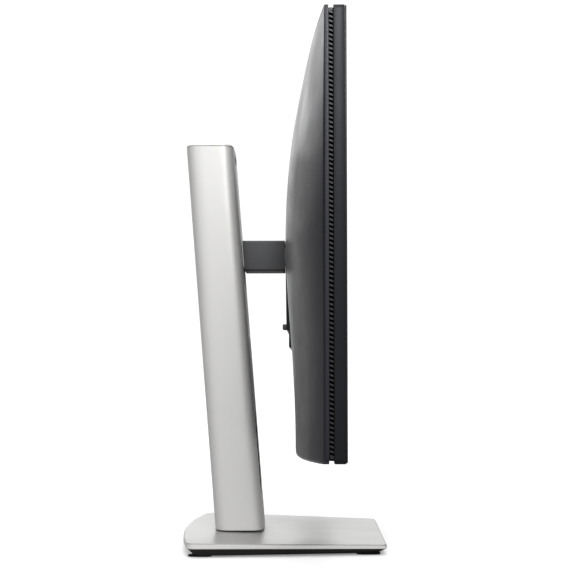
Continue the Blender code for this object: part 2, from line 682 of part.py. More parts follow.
def make_electronics(looks, body):
    """Boards, the port plate and the sockets that face down into the port bay."""
    back = BOARD_DEPTH + BOARD_THICK
    display_box("main_board", 0.075, (BOARD_DEPTH, back), (0.190, 0.300), looks["board"], body, 0.015)
    display_box("power_board", 0.045, (BOARD_DEPTH, back), (0.190, 0.330), looks["board"], body, -0.118)
    plate = display_box(
        "port_plate", 0.1216, (0.0189, 0.0406), (PORT_PLATE_Z, PORT_PLATE_Z + 0.0012), looks["steel"], body
    )
    first = back + GAP
    sockets = (
        ("power_inlet", -0.095, 0.0135, 0.0090, 0.022, 0.0018, looks["trim"]),
        ("hdmi_port", -0.040, 0.0075, 0.0028, 0.011, 0.0005, looks["steel"]),
        ("display_port", -0.012, 0.0082, 0.0030, 0.011, 0.0005, looks["steel"]),
        ("usb_b_port", 0.018, 0.0060, 0.0055, 0.015, 0.0008, looks["steel"]),
        ("usb_a_port_1", 0.048, 0.0068, 0.0034, 0.014, 0.0005, looks["steel"]),
        ("usb_a_port_2", 0.072, 0.0068, 0.0034, 0.014, 0.0005, looks["steel"]),
    )
    for name, x, half_width, half_depth, tall, wall, material in sockets:
        middle = first + half_depth
        depths = (middle - half_depth, middle + half_depth)
        mouth = PORT_PLATE_Z + 0.0002
        clear = (depths[0] - GAP, depths[1] + GAP)
        hole = display_box(f"{name}_hole", half_width + GAP, clear, (0.180, 0.195), x=x)
        carve(plate, hole)
        body_box = display_box(name, half_width, depths, (mouth, mouth + tall), material, body, x)
        inside = (depths[0] + wall, depths[1] - wall)
        floor = mouth + tall - 0.004
        carve(body_box, display_box(f"{name}_mouth", half_width - wall, inside, (0.180, floor), x=x))
        if name != "power_inlet":
            blade = half_depth * 0.28
            tongue = display_box(
                f"{name}_tongue", half_width * 0.6, (middle - blade, middle + blade), (mouth + 0.001, floor + 0.001), x=x
            )
            carve(body_box, tongue, "UNION")


def make_mount(looks, body):
    """The mount plate in its bay and the bracket that backs the bay's floor."""
    axis = (0.0, ARM_Z)
    outline = rounded_box(PLATE_HALF, PLATE_HALF, 0.008, 2)
    ends = [FRONT_Y + depth for depth in (PLATE_DEPTH, PLATE_DEPTH + PLATE_THICK)]
    plate = loft("mount_plate", [upright(outline, y, axis) for y in ends], looks["steel"], body)
    reach = (FRONT_Y + 0.02, FRONT_Y + 0.05)
    carve(plate, rod("plate_bore", reach, SPINDLE_RADIUS + GAP, axis, "Y"))
    ends = [FRONT_Y + depth for depth in (0.0287, 0.0310)]
    outline = rounded_box(0.060, 0.060, 0.006, 2)
    bracket = loft("mount_bracket", [upright(outline, y, axis) for y in ends], looks["steel"], body)
    carve(bracket, rod("bracket_bore", reach, 0.012, axis, "Y"))


def make_release(looks, button_body, latch_body):
    """The quick-release button and the latch that it draws down."""
    low, high = 0.2099, 0.2155
    button = display_box("release_button", 0.009, (0.0450, 0.0550), (low, high), looks["shell"], button_body)
    soften(button, 0.0008)
    flange = display_box("button_flange", 0.012, (0.0440, 0.0465), (low - 0.001, high + 0.001))
    carve(button, flange, "UNION")
    display_box("release_latch", 0.012, (0.0369, 0.0390), (0.2132, 0.2280), looks["steel"], latch_body)


def make_controls(looks, bodies, body):
    """The joystick on its gimbal, its housing, and the power button."""
    housing = rod(
        "joystick_housing", (FRONT_Y + 0.0150, FRONT_Y + 0.0220), 0.0085, JOYSTICK, "Y", looks["trim"], body
    )
    carve(housing, rod("housing_space", (FRONT_Y + 0.0162, FRONT_Y + 0.03), 0.0060, JOYSTICK, "Y"))
    ring = (FRONT_Y + 0.0194, FRONT_Y + 0.0206)
    gimbal = (0.0026, 0.0046)
    washer("joystick_gimbal", ring, gimbal, JOYSTICK, "Y", looks["trim"], bodies["gimbal"], SMALL_SIDES)
    stick = (FRONT_Y + 0.0175, FRONT_Y + 0.0289)
    rod("joystick_stem", stick, 0.0016, JOYSTICK, "Y", looks["trim"], bodies["stem"], SMALL_SIDES)
    cap = rod(
        "joystick_cap", (FRONT_Y + 0.0270, FRONT_Y + 0.0325), 0.0050, JOYSTICK, "Y", looks["shell"], bodies["cap"]
    )
    carve(cap, rod("cap_bore", (FRONT_Y + 0.026, FRONT_Y + 0.0301), 0.0019, JOYSTICK, "Y", sides=SMALL_SIDES))
    key = rod(
        "power_button", (FRONT_Y + 0.0270, FRONT_Y + 0.0346), 0.0045, POWER_KEY, "Y", looks["shell"], bodies["power"]
    )
    carve(key, rod("key_flange", (FRONT_Y + 0.0262, FRONT_Y + 0.0278), 0.0062, POWER_KEY, "Y"), "UNION")


# ---------------------------------------------------------------- the whole object


def main():
    """Build the object in one pass, from the desk up."""
    clear_scene()
    looks = make_finishes()
    base = joint_empty("base_body", (0.0, 0.0, 0.0))
    column = joint_empty("swivel_axis", (0.0, SWIVEL_Y, COLUMN_BOTTOM), base)
    carriage = joint_empty("lift_axis", (0.0, column_y(ARM_Z), ARM_Z), column)
    tilt = joint_empty("tilt_axis", (0.0, TILT_Y, ARM_Z), carriage)
    display = joint_empty("pivot_axis", (0.0, FRONT_Y + PLATE_DEPTH, ARM_Z), tilt)
    button = joint_empty("release_axis", (0.0, FRONT_Y + 0.05, 0.2127), display)
    latch = joint_empty("latch_axis", (0.0, FRONT_Y + 0.038, 0.2206), display)
    stick_centre = (JOYSTICK[0], FRONT_Y + 0.020, JOYSTICK[1])
    gimbal = joint_empty("gimbal_axis", stick_centre, display)
    stem = joint_empty("stem_axis", stick_centre, gimbal)
    cap = joint_empty("cap_axis", (JOYSTICK[0], FRONT_Y + 0.0290, JOYSTICK[1]), stem)
    power = joint_empty("power_axis", (POWER_KEY[0], FRONT_Y + 0.030, POWER_KEY[1]), display)

    make_base(looks, base)
    make_column(looks, column)
    make_carriage(looks, carriage)
    make_tilt_head(looks, tilt)
    make_housing(looks, display)
    make_panel(looks, display)
    make_electronics(looks, display)
    make_mount(looks, display)
    make_release(looks, button, latch)
    moving = {"gimbal": gimbal, "stem": stem, "cap": cap, "power": power}
    make_controls(looks, moving, display)


main()
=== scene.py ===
"""The looks of a desktop monitor on a height-adjustable stand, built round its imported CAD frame.

Metres, +Z up, the screen faces -Y. Depths in the display are measured back from its front plane.
"""

import logging
import math
from dataclasses import dataclass
from enum import Enum

import bmesh
import bpy
import numpy as np
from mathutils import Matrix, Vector


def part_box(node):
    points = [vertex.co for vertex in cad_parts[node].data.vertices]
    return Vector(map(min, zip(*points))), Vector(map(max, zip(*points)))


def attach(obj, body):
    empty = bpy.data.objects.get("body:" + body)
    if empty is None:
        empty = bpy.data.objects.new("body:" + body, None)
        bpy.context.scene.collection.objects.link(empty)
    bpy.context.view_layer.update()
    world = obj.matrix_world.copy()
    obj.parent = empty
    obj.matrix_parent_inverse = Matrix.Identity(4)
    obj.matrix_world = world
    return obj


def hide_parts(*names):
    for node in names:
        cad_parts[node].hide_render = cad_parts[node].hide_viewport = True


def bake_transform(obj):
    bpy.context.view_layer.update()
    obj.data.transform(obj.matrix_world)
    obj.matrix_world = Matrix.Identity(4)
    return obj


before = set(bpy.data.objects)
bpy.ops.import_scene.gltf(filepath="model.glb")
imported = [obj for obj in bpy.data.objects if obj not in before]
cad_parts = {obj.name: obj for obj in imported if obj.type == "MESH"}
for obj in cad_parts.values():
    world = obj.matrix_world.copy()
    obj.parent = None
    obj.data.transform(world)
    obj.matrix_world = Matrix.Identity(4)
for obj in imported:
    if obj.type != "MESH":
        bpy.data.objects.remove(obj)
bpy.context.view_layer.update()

LOG = logging.getLogger("monitor")

Pair = tuple[float, float]
Triple = tuple[float, float, float]
Profile = list[tuple[float, ...]]
Array = np.ndarray
Tree = bpy.types.NodeTree
Socket = bpy.types.NodeSocket
Piece = bpy.types.Object


# ---------------------------------------------------------------- finishes


def feed(tree: Tree, node: bpy.types.Node, inputs: dict) -> None:
    """Set a node's inputs, and link those whose value is another node's output.

    Args:
        tree: the node tree.
        node: the node.
        inputs: a value or a source for each input's name or number.
    """
    for key, value in inputs.items():
        if isinstance(value, Socket):
            tree.links.new(value, node.inputs[key])
        else:
            node.inputs[key].default_value = value


def add_node(tree: Tree, kind: str, inputs: dict | None = None, **options: object) -> bpy.types.Node:
    """Add a shader node.

    Args:
        tree: the node tree that gets it.
        kind: the node type's name without ShaderNode.
        inputs: a value or a source for each input's name or number.
        **options: the node's own settings, such as its operation.

    Returns:
        The new node.
    """
    made = tree.nodes.new("ShaderNode" + kind)
    for name, value in options.items():
        setattr(made, name, value)
    feed(tree, made, inputs or {})
    return made


def new_material(name: str) -> tuple[bpy.types.Material, Tree, bpy.types.Node]:
    """A new node material with its tree and its Principled shader.

    Args:
        name: the material's name.

    Returns:
        The material, its node tree and its shader.
    """
    made = bpy.data.materials.new(name)
    made.use_nodes = True
    return made, made.node_tree, made.node_tree.nodes["Principled BSDF"]


class Grain(Enum):
    """The way the fine texture of a finish is stretched."""

    EVEN = (1.0, 1.0, 1.0)
    ALONG_X = (0.04, 1.0, 1.0)
    ALONG_Y = (1.0, 0.02, 1.0)
    ALONG_Z = (1.0, 1.0, 0.02)


@dataclass(frozen=True)
class Finish:
    """A surface with a fine grain, a slow change of tone and an uneven gloss."""

    name: str
    slot: str
    colour: Triple
    roughness: float
    metallic: float = 0.0
    grain: Grain = Grain.EVEN
    grain_size: float = 0.0005
    grain_depth: float = 0.00002
    mottle: float = 0.05
    gloss_change: float = 0.05
    specular: float = 0.5
    tint: Triple = (1.0, 1.0, 1.0)
    patches_per_metre: float = 22.0

    def build(self) -> bpy.types.Material:
        """Make the material, or give back the one already made.

        Returns:
            A node material that reads Object coordinates.
        """
        made = bpy.data.materials.get(self.name)
        if made is not None:
            return made
        made, tree, shader = new_material(self.name)
        place = add_node(tree, "TexCoord").outputs["Object"]
        cloud = add_node(tree, "TexNoise", {"Vector": place, "Scale": self.patches_per_metre, "Detail": 5.0})
        feed(tree, shader, {
            "Metallic": self.metallic,
            "Specular IOR Level": self.specular,
            "Specular Tint": (*self.tint, 1.0),
            "Normal": self._grain_normal(tree, place),
            "Base Color": self._tone(tree, cloud.outputs["Fac"]),
            "Roughness": self._gloss(tree, cloud.outputs["Fac"]),
        })
        return made

    def _grain_normal(self, tree: Tree, place: Socket) -> Socket:
        """Bump from noise of one grain size, stretched as the grain says.

        Args:
            tree: the material's node tree.
            place: the output that holds the place.

        Returns:
            The output of the bumped normal.
        """
        stretch = [share / self.grain_size for share in self.grain.value]
        mapping = add_node(tree, "Mapping", {"Vector": place, "Scale": stretch})
        noise = add_node(tree, "TexNoise", {"Vector": mapping.outputs["Vector"], "Scale": 1.0, "Detail": 3.0})
        height = noise.outputs["Fac"]
        bump = add_node(tree, "Bump", {"Height": height, "Strength": 1.0, "Distance": self.grain_depth})
        return bump.outputs["Normal"]

    def _tone(self, tree: Tree, cloud: Socket) -> Socket:
        """The colour, drifting darker and lighter over a few centimetres.

        Args:
            tree: the material's node tree.
            cloud: the slow noise.

        Returns:
            The output of the colour.
        """
        dark = [channel * (1 - self.mottle) for channel in self.colour]
        light = [min(1.0, channel * (1 + self.mottle)) for channel in self.colour]
        sources = {"Factor": cloud, "A": (*dark, 1.0), "B": (*light, 1.0)}
        return add_node(tree, "Mix", sources, data_type="RGBA").outputs["Result"]

    def _gloss(self, tree: Tree, cloud: Socket) -> Socket:
        """The roughness, changing with the colour.

        Args:
            tree: the material's node tree.
            cloud: the slow noise.

        Returns:
            The output of the roughness.
        """
        low = max(0.02, self.roughness - self.gloss_change)
        high = min(1.0, self.roughness + self.gloss_change)
        limits = {"From Min": 0.3, "From Max": 0.7, "To Min": low, "To Max": high}
        return add_node(tree, "MapRange", {"Value": cloud, **limits}).outputs["Result"]


@dataclass(frozen=True)
class ScreenFinish:
    """An anti-glare panel: a black inked border round a slightly lighter picture area."""

    name: str = "anti_glare_panel"
    slot: str = "screen"
    border_side: float = 0.0048
    border_top: float = 0.0052
    border_foot: float = 0.0012
    ink: Triple = (0.004, 0.004, 0.0045)
    picture: Triple = (0.0135, 0.014, 0.0165)
    roughness: float = 0.32
    haze_per_metre: float = 9000.0
    haze_depth: float = 0.000004

    def build(self) -> bpy.types.Material:
        """Make the material; the picture area is where |x| and z stay inside the border.

        Returns:
            A node material that reads Object coordinates.
        """
        made, tree, shader = new_material(self.name)
        place = add_node(tree, "TexCoord").outputs["Object"]
        parts = add_node(tree, "SeparateXYZ", {"Vector": place}).outputs
        low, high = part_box("lcd_panel")
        size = add_node(tree, "Math", {0: parts["X"]}, operation="ABSOLUTE").outputs[0]
        across = self._under(tree, size, high.x - self.border_side)
        up = self._under(tree, parts["Z"], high.z - self.border_top)
        down = self._under(tree, parts["Z"], low.z + self.border_foot)
        inside = add_node(tree, "Math", {0: across, 1: up}, operation="MULTIPLY").outputs[0]
        both = add_node(tree, "Math", {0: inside, 1: down}, operation="SUBTRACT", use_clamp=True).outputs[0]
        tones = {"Factor": both, "A": (*self.ink, 1.0), "B": (*self.picture, 1.0)}
        tone = add_node(tree, "Mix", tones, data_type="RGBA")
        haze = add_node(tree, "TexNoise", {"Vector": place, "Scale": self.haze_per_metre})
        height = haze.outputs["Fac"]
        bump = add_node(tree, "Bump", {"Height": height, "Strength": 0.6, "Distance": self.haze_depth})
        feed(tree, shader, {
            "Roughness": self.roughness,
            "Base Color": tone.outputs["Result"],
            "Normal": bump.outputs["Normal"],
        })
        return made

    @staticmethod
    def _under(tree: Tree, value: Socket, limit: float) -> Socket:
        """One where the value is under the limit, and zero elsewhere."""
        return add_node(tree, "Math", {0: value, 1: limit}, operation="LESS_THAN").outputs[0]


COVER_PLASTIC = Finish(
    "cover_plastic", "shell_plastic", (0.0063, 0.0067, 0.0100), 0.34, specular=0.48,
    tint=(0.87, 0.88, 1.0), grain_size=0.00035, grain_depth=0.000022,
)
FRAME_PLASTIC = Finish(
    "frame_plastic", "trim_plastic", (0.0056, 0.0060, 0.0076), 0.38, specular=0.24,
    tint=(0.92, 0.95, 1.0), grain_size=0.0003, grain_depth=0.000014,
)
# The vent bars: the black trim plastic in a lighter tone, painted light so they read as lit.
LIT_VENT_PLASTIC = Finish("vent_plastic_painted_light", "trim_plastic", (0.0130, 0.0133, 0.0150), 0.45, grain_size=0.0003)
# Near-black, dull tone of the trim plastic: painted shade inside the vent groove and behind the lock slot.
SHADE_BLACK = Finish("painted_shade_black", "trim_plastic", (0.002, 0.002, 0.0022), 0.8, specular=0.12)
EDGE_BLACK = Finish("panel_edge", "trim_plastic", (0.006, 0.006, 0.007), 0.22, mottle=0.02)
ARM_PLASTIC = Finish(
    "arm_plastic", "shell_plastic", (0.066, 0.068, 0.072), 0.46, grain_size=0.00035, grain_depth=0.00002,
)
SILVER = Finish(
    "satin_silver", "silver_column", (0.725, 0.72, 0.705), 0.44, 0.30, Grain.ALONG_Z,
    grain_size=0.0004, grain_depth=0.000005, mottle=0.015, gloss_change=0.03,
)
BASE_SILVER = Finish(
    "satin_silver_base", "silver_paint", (0.33, 0.327, 0.32), 0.34, 0.22, Grain.ALONG_Y,
    grain_size=0.0005, grain_depth=0.000006, mottle=0.015, gloss_change=0.03, specular=0.32,
)
# The base's side band: the plate's silver paint made lighter, a painted highlight.
LIT_EDGE_SILVER = Finish(
    "base_edge_painted_highlight", "silver_paint", (0.80, 0.795, 0.78), 0.36, 0.20, Grain.ALONG_Y,
    grain_size=0.0005, grain_depth=0.000004, mottle=0.01, gloss_change=0.03,
)
WEIGHT_PAINT = Finish(
    "weight_paint", "weight_paint", (0.006, 0.006, 0.0065), 0.6, grain_size=0.0009, grain_depth=0.00004,
)
RUBBER = Finish("foot_rubber", "rubber", (0.008, 0.008, 0.008), 0.85, grain_size=0.0006)
NYLON = Finish("nylon", "nylon", (0.72, 0.71, 0.67), 0.45)
STEEL = Finish(
    "zinc_steel", "steel", (0.50, 0.51, 0.52), 0.36, 0.9, Grain.ALONG_X, 0.0004, 0.000006, 0.08, 0.08,
)
DARK_STEEL = Finish(
    "painted_steel", "steel", (0.022, 0.022, 0.023), 0.5, grain_size=0.0006, grain_depth=0.00003,
)
CASTING = Finish("casting", "casting", (0.20, 0.205, 0.21), 0.55, 0.7, grain_size=0.0012, grain_depth=0.00006)
FILM = Finish("white_film", "white_film", (0.80, 0.80, 0.80), 0.5)
ACRYLIC = Finish("acrylic_sheet", "acrylic", (0.78, 0.82, 0.84), 0.12)
BOARD = Finish("solder_mask", "circuit_board", (0.012, 0.085, 0.035), 0.35, mottle=0.2)
LENS = Finish("status_lens", "acrylic", (0.20, 0.21, 0.22), 0.2)


# ---------------------------------------------------------------- surfaces


def smooth_step(value: Array) -> Array:
    """Zero below 0, one above 1, and 3t^2 - 2t^3 between."""
    share = np.clip(value, 0.0, 1.0)
    return share * share * (3.0 - 2.0 * share)


def rounding(distance: Array, radius: float) -> Array:
    """How far a quarter-round edge has dropped at a distance inside its rim."""
    short = np.clip(radius - distance, 0.0, radius)
    return radius - np.sqrt(radius**2 - short**2)


def round_edge(edge: float, top: float, radius: float, steps: int, way: int = 1) -> Profile:
    """A quarter circle from a side up to a top.

    At angle t from 0 to 90 degrees the point is at edge + way (r - r cos t), top - r + r sin t.

    Args:
        edge: where the side lies.
        top: where the top lies.
        radius: the quarter circle's radius.
        steps: how many points.
        way: 1 where the top lies past the edge's value, -1 where it lies before.

    Returns:
        The points as pairs.
    """
    turn = np.linspace(0.0, math.pi / 2, steps)
    across = edge + way * radius * (1 - np.cos(turn))
    up = top - radius + radius * np.sin(turn)
    return list(zip(across.tolist(), up.tolist()))


def grid_quads(rows: int, columns: int, wrap_rows: bool, wrap_columns: bool) -> Array:
    """The four-sided faces of a grid of points.

    Args:
        rows: how many rows of points.
        columns: how many points in a row.
        wrap_rows: whether the last row joins the first.
        wrap_columns: whether each row's last point joins its first.

    Returns:
        An array of n by 4 point numbers.
    """
    last_row = rows if wrap_rows else rows - 1
    last_column = columns if wrap_columns else columns - 1
    row, column = np.meshgrid(np.arange(last_row), np.arange(last_column), indexing="ij")
    row, column = row.ravel(), column.ravel()
    below = (row + 1) % rows
    beside = (column + 1) % columns
    corners = [(row, column), (row, beside), (below, beside), (below, column)]
    return np.stack([r * columns + c for r, c in corners], axis=1)


def make_mesh(name: str, points: Array, faces: list, sharp: float = 32.0) -> Piece:
    """An object at the origin from points and faces, facing outwards.

    Args:
        name: the piece's name.
        points: an array of n by 3.
        faces: lists of point numbers.
        sharp: the angle in degrees past which an edge stays sharp.

    Returns:
        The linked object.
    """
    mesh = bpy.data.meshes.new(name)
    mesh.from_pydata(points.tolist(), [], faces)
    build = bmesh.new()
    build.from_mesh(mesh)
    bmesh.ops.remove_doubles(build, verts=build.verts, dist=1e-7)
    bmesh.ops.recalc_face_normals(build, faces=build.faces)
    build.to_mesh(mesh)
    build.free()
    mesh.shade_smooth()
    mesh.set_sharp_from_angle(angle=math.radians(sharp))
    made = bpy.data.objects.new(name, mesh)
    bpy.context.scene.collection.objects.link(made)
    return made


def dress(piece: Piece, body: str, look: Finish, *replaces: str) -> Piece:
    """Give a piece its finish and its body.

    Args:
        piece: the piece.
        body: the moving body that it rides on.
        look: its finish.
        *replaces: the CAD nodes that it stands for.

    Returns:
        The same piece.
    """
    piece.data.materials.clear()
    piece.data.materials.append(look.build())
    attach(piece, body)
    if replaces:
        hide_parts(*replaces)
    LOG.info("%s: %d faces on %s", piece.name, len(piece.data.polygons), body)
    return piece


def settle(piece: Piece, sharp: float = 32.0) -> Piece:
    """Apply a piece's modifiers to its mesh.

    Args:
        piece: the piece.
        sharp: the angle in degrees past which an edge stays sharp.

    Returns:
        The same piece.
    """
    graph = bpy.context.evaluated_depsgraph_get()
    mesh = bpy.data.meshes.new_from_object(piece.evaluated_get(graph))
    piece.modifiers.clear()
    piece.data = mesh
    mesh.shade_smooth()
    mesh.set_sharp_from_angle(angle=math.radians(sharp))
    return piece


def cut(piece: Piece, *tools: Piece) -> None:
    """Cut closed tools out of a closed piece and remove them.

    Args:
        piece: the closed piece.
        *tools: the closed tools.
    """
    for tool in tools:
        change = piece.modifiers.new(tool.name, "BOOLEAN")
        change.operation = "DIFFERENCE"
        change.solver = "EXACT"
        change.object = tool
    bpy.context.view_layer.update()
    settle(piece)
    for tool in tools:
        bpy.data.objects.remove(tool, do_unlink=True)


def closed_loft(name: str, rings: Array, sharp: float = 32.0) -> Piece:
    """A solid through rings, with a flat cap on each end.

    Args:
        name: the piece's name.
        rings: an array of (rings, points, 3).
        sharp: the angle in degrees past which an edge stays sharp.

    Returns:
        The linked object.
    """
    rows, columns = rings.shape[:2]
    faces = grid_quads(rows, columns, False, True).tolist()
    faces.append(list(range(columns)))
    faces.append(list(range((rows - 1) * columns, rows * columns)))
    return make_mesh(name, rings.reshape(-1, 3), faces, sharp)


def ring_skin(name: str, rings: Array, sharp: float = 32.0) -> Piece:
    """A closed ring-shaped skin: the last ring joins the first, and so do the ends of each.

    Args:
        name: the piece's name.
        rings: an array of (rings, points, 3).
        sharp: the angle in degrees past which an edge stays sharp.

    Returns:
        The linked object.
    """
    rows, columns = rings.shape[:2]
    faces = grid_quads(rows, columns, True, True).tolist()
    return make_mesh(name, rings.reshape(-1, 3), faces, sharp)


def rounded_outline(half_width: float, half_height: float, radius: float, steps: int = 10) -> Array:
    """A rectangle with quarter-circle corners.

    Args:
        half_width: half the width.
        half_height: half the height.
        radius: the corners' radius.
        steps: steps in a corner.

    Returns:
        The outline, counter-clockwise, as an array of n by 2.
    """
    turn = np.linspace(0.0, math.pi / 2, steps + 1)
    angle = (turn[None, :] + np.arange(4)[:, None] * math.pi / 2).ravel()
    across = np.repeat([1, -1, -1, 1], steps + 1) * (half_width - radius)
    up = np.repeat([1, 1, -1, -1], steps + 1) * (half_height - radius)
    return np.column_stack([across + radius * np.cos(angle), up + radius * np.sin(angle)])


def outline_normals(outline: Array) -> Array:
    """The outward unit normals of a counter-clockwise outline.

    Args:
        outline: an array of n by 2.

    Returns:
        An array of n by 2.
    """
    along = np.roll(outline, -1, axis=0) - np.roll(outline, 1, axis=0)
    normal = np.column_stack([along[:, 1], -along[:, 0]])
    return normal / np.linalg.norm(normal, axis=1, keepdims=True)


def swept(outline: Array, profile: Profile, centre: Pair, start: float = 0.0) -> Array:
    """A profile carried round an upright outline.

    Each point is the outline's point less inset times its normal, with y as the profile says.

    Args:
        outline: x and z about the centre, as an array of n by 2.
        profile: pairs of inset and y.
        centre: the centre's x and z.
        start: the y that the profile starts from.

    Returns:
        Rings as an array of (profile, outline, 3).
    """
    inset, run = np.split(np.array(profile), 2, axis=1)
    flat = outline + centre - inset[..., None] * outline_normals(outline)
    y = np.broadcast_to(start + run, flat.shape[:2])
    return np.stack([flat[..., 0], y, flat[..., 1]], axis=2)


def turned(name: str, profile: Profile, centre: Triple, sides: int = 72) -> Piece:
    """A profile spun about an axis along y through a centre.

    A point at radius r and angle t is at x + r cos t, z + r sin t. A first and last radius of zero
    close the piece on the axis.

    Args:
        name: the piece's name.
        profile: pairs of radius and y.
        centre: the point where y is zero.
        sides: steps round the axis.

    Returns:
        The linked object.
    """
    radius, run = np.split(np.array(profile), 2, axis=1)
    angle = np.linspace(0.0, 2 * math.pi, sides, endpoint=False)[None]
    x = radius * np.cos(angle)
    points = np.stack([x, run + 0 * x, radius * np.sin(angle)], axis=2) + np.array(centre)
    return make_mesh(name, points.reshape(-1, 3), grid_quads(len(profile), sides, False, True).tolist())


def block_corners(x: Pair, y: Pair, z: Pair) -> list[Triple]:
    """The eight corners of a plain block: four at its first y, then four at its last."""
    ring = [(x[0], z[0]), (x[1], z[0]), (x[1], z[1]), (x[0], z[1])]
    return [(across, depth, up) for depth in y for across, up in ring]


def blocks_mesh(name: str, corners: Array) -> Piece:
    """Many six-sided blocks in one mesh.

    The first four corners of a block go round one end and the last four round the other.

    Args:
        name: the piece's name.
        corners: an array of (blocks, 8, 3).

    Returns:
        The linked object.
    """
    block = np.array([(0, 1, 2, 3), (4, 7, 6, 5), (0, 4, 5, 1), (1, 5, 6, 2), (2, 6, 7, 3), (3, 7, 4, 0)])
    faces = block[None] + 8 * np.arange(len(corners))[:, None, None]
    return make_mesh(name, corners.reshape(-1, 3), faces.reshape(-1, 4).tolist())


def centre_of(node: str) -> Triple:
    """The centre of a CAD node's box."""
    low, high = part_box(node)
    return tuple((low + high) / 2)


# ---------------------------------------------------------------- display


@dataclass(frozen=True)
class Bay:
    """A square-sided hollow in the rear cover, with an opening high in one wall."""

    half: float
    low: float
    high: float
    floor: float
    shelves: Pair
    opening_half: float

    def inside(self, x: Array, z: Array) -> Array:
        """Distance inside the bay's rim, negative outside it."""
        return np.minimum(self.half - np.abs(x), np.minimum(z - self.low, self.high - z))

    def opening(self, x: Array, z: Array, depth: Array, wall_z: float, reach: float) -> Array:
        """Which cells of the wall at a height are open: those between the two shelves.

        Args:
            x: each cell's x.
            z: each cell's z.
            depth: each cell's depth.
            wall_z: the height of the bay's wall that is open.
            reach: how near to it a cell lies.

        Returns:
            An array of booleans.
        """
        upper, lower = max(self.shelves), min(self.shelves)
        near = (np.abs(x) < self.opening_half) & (np.abs(z - wall_z) < reach)
        return near & (depth > lower) & (depth < upper)


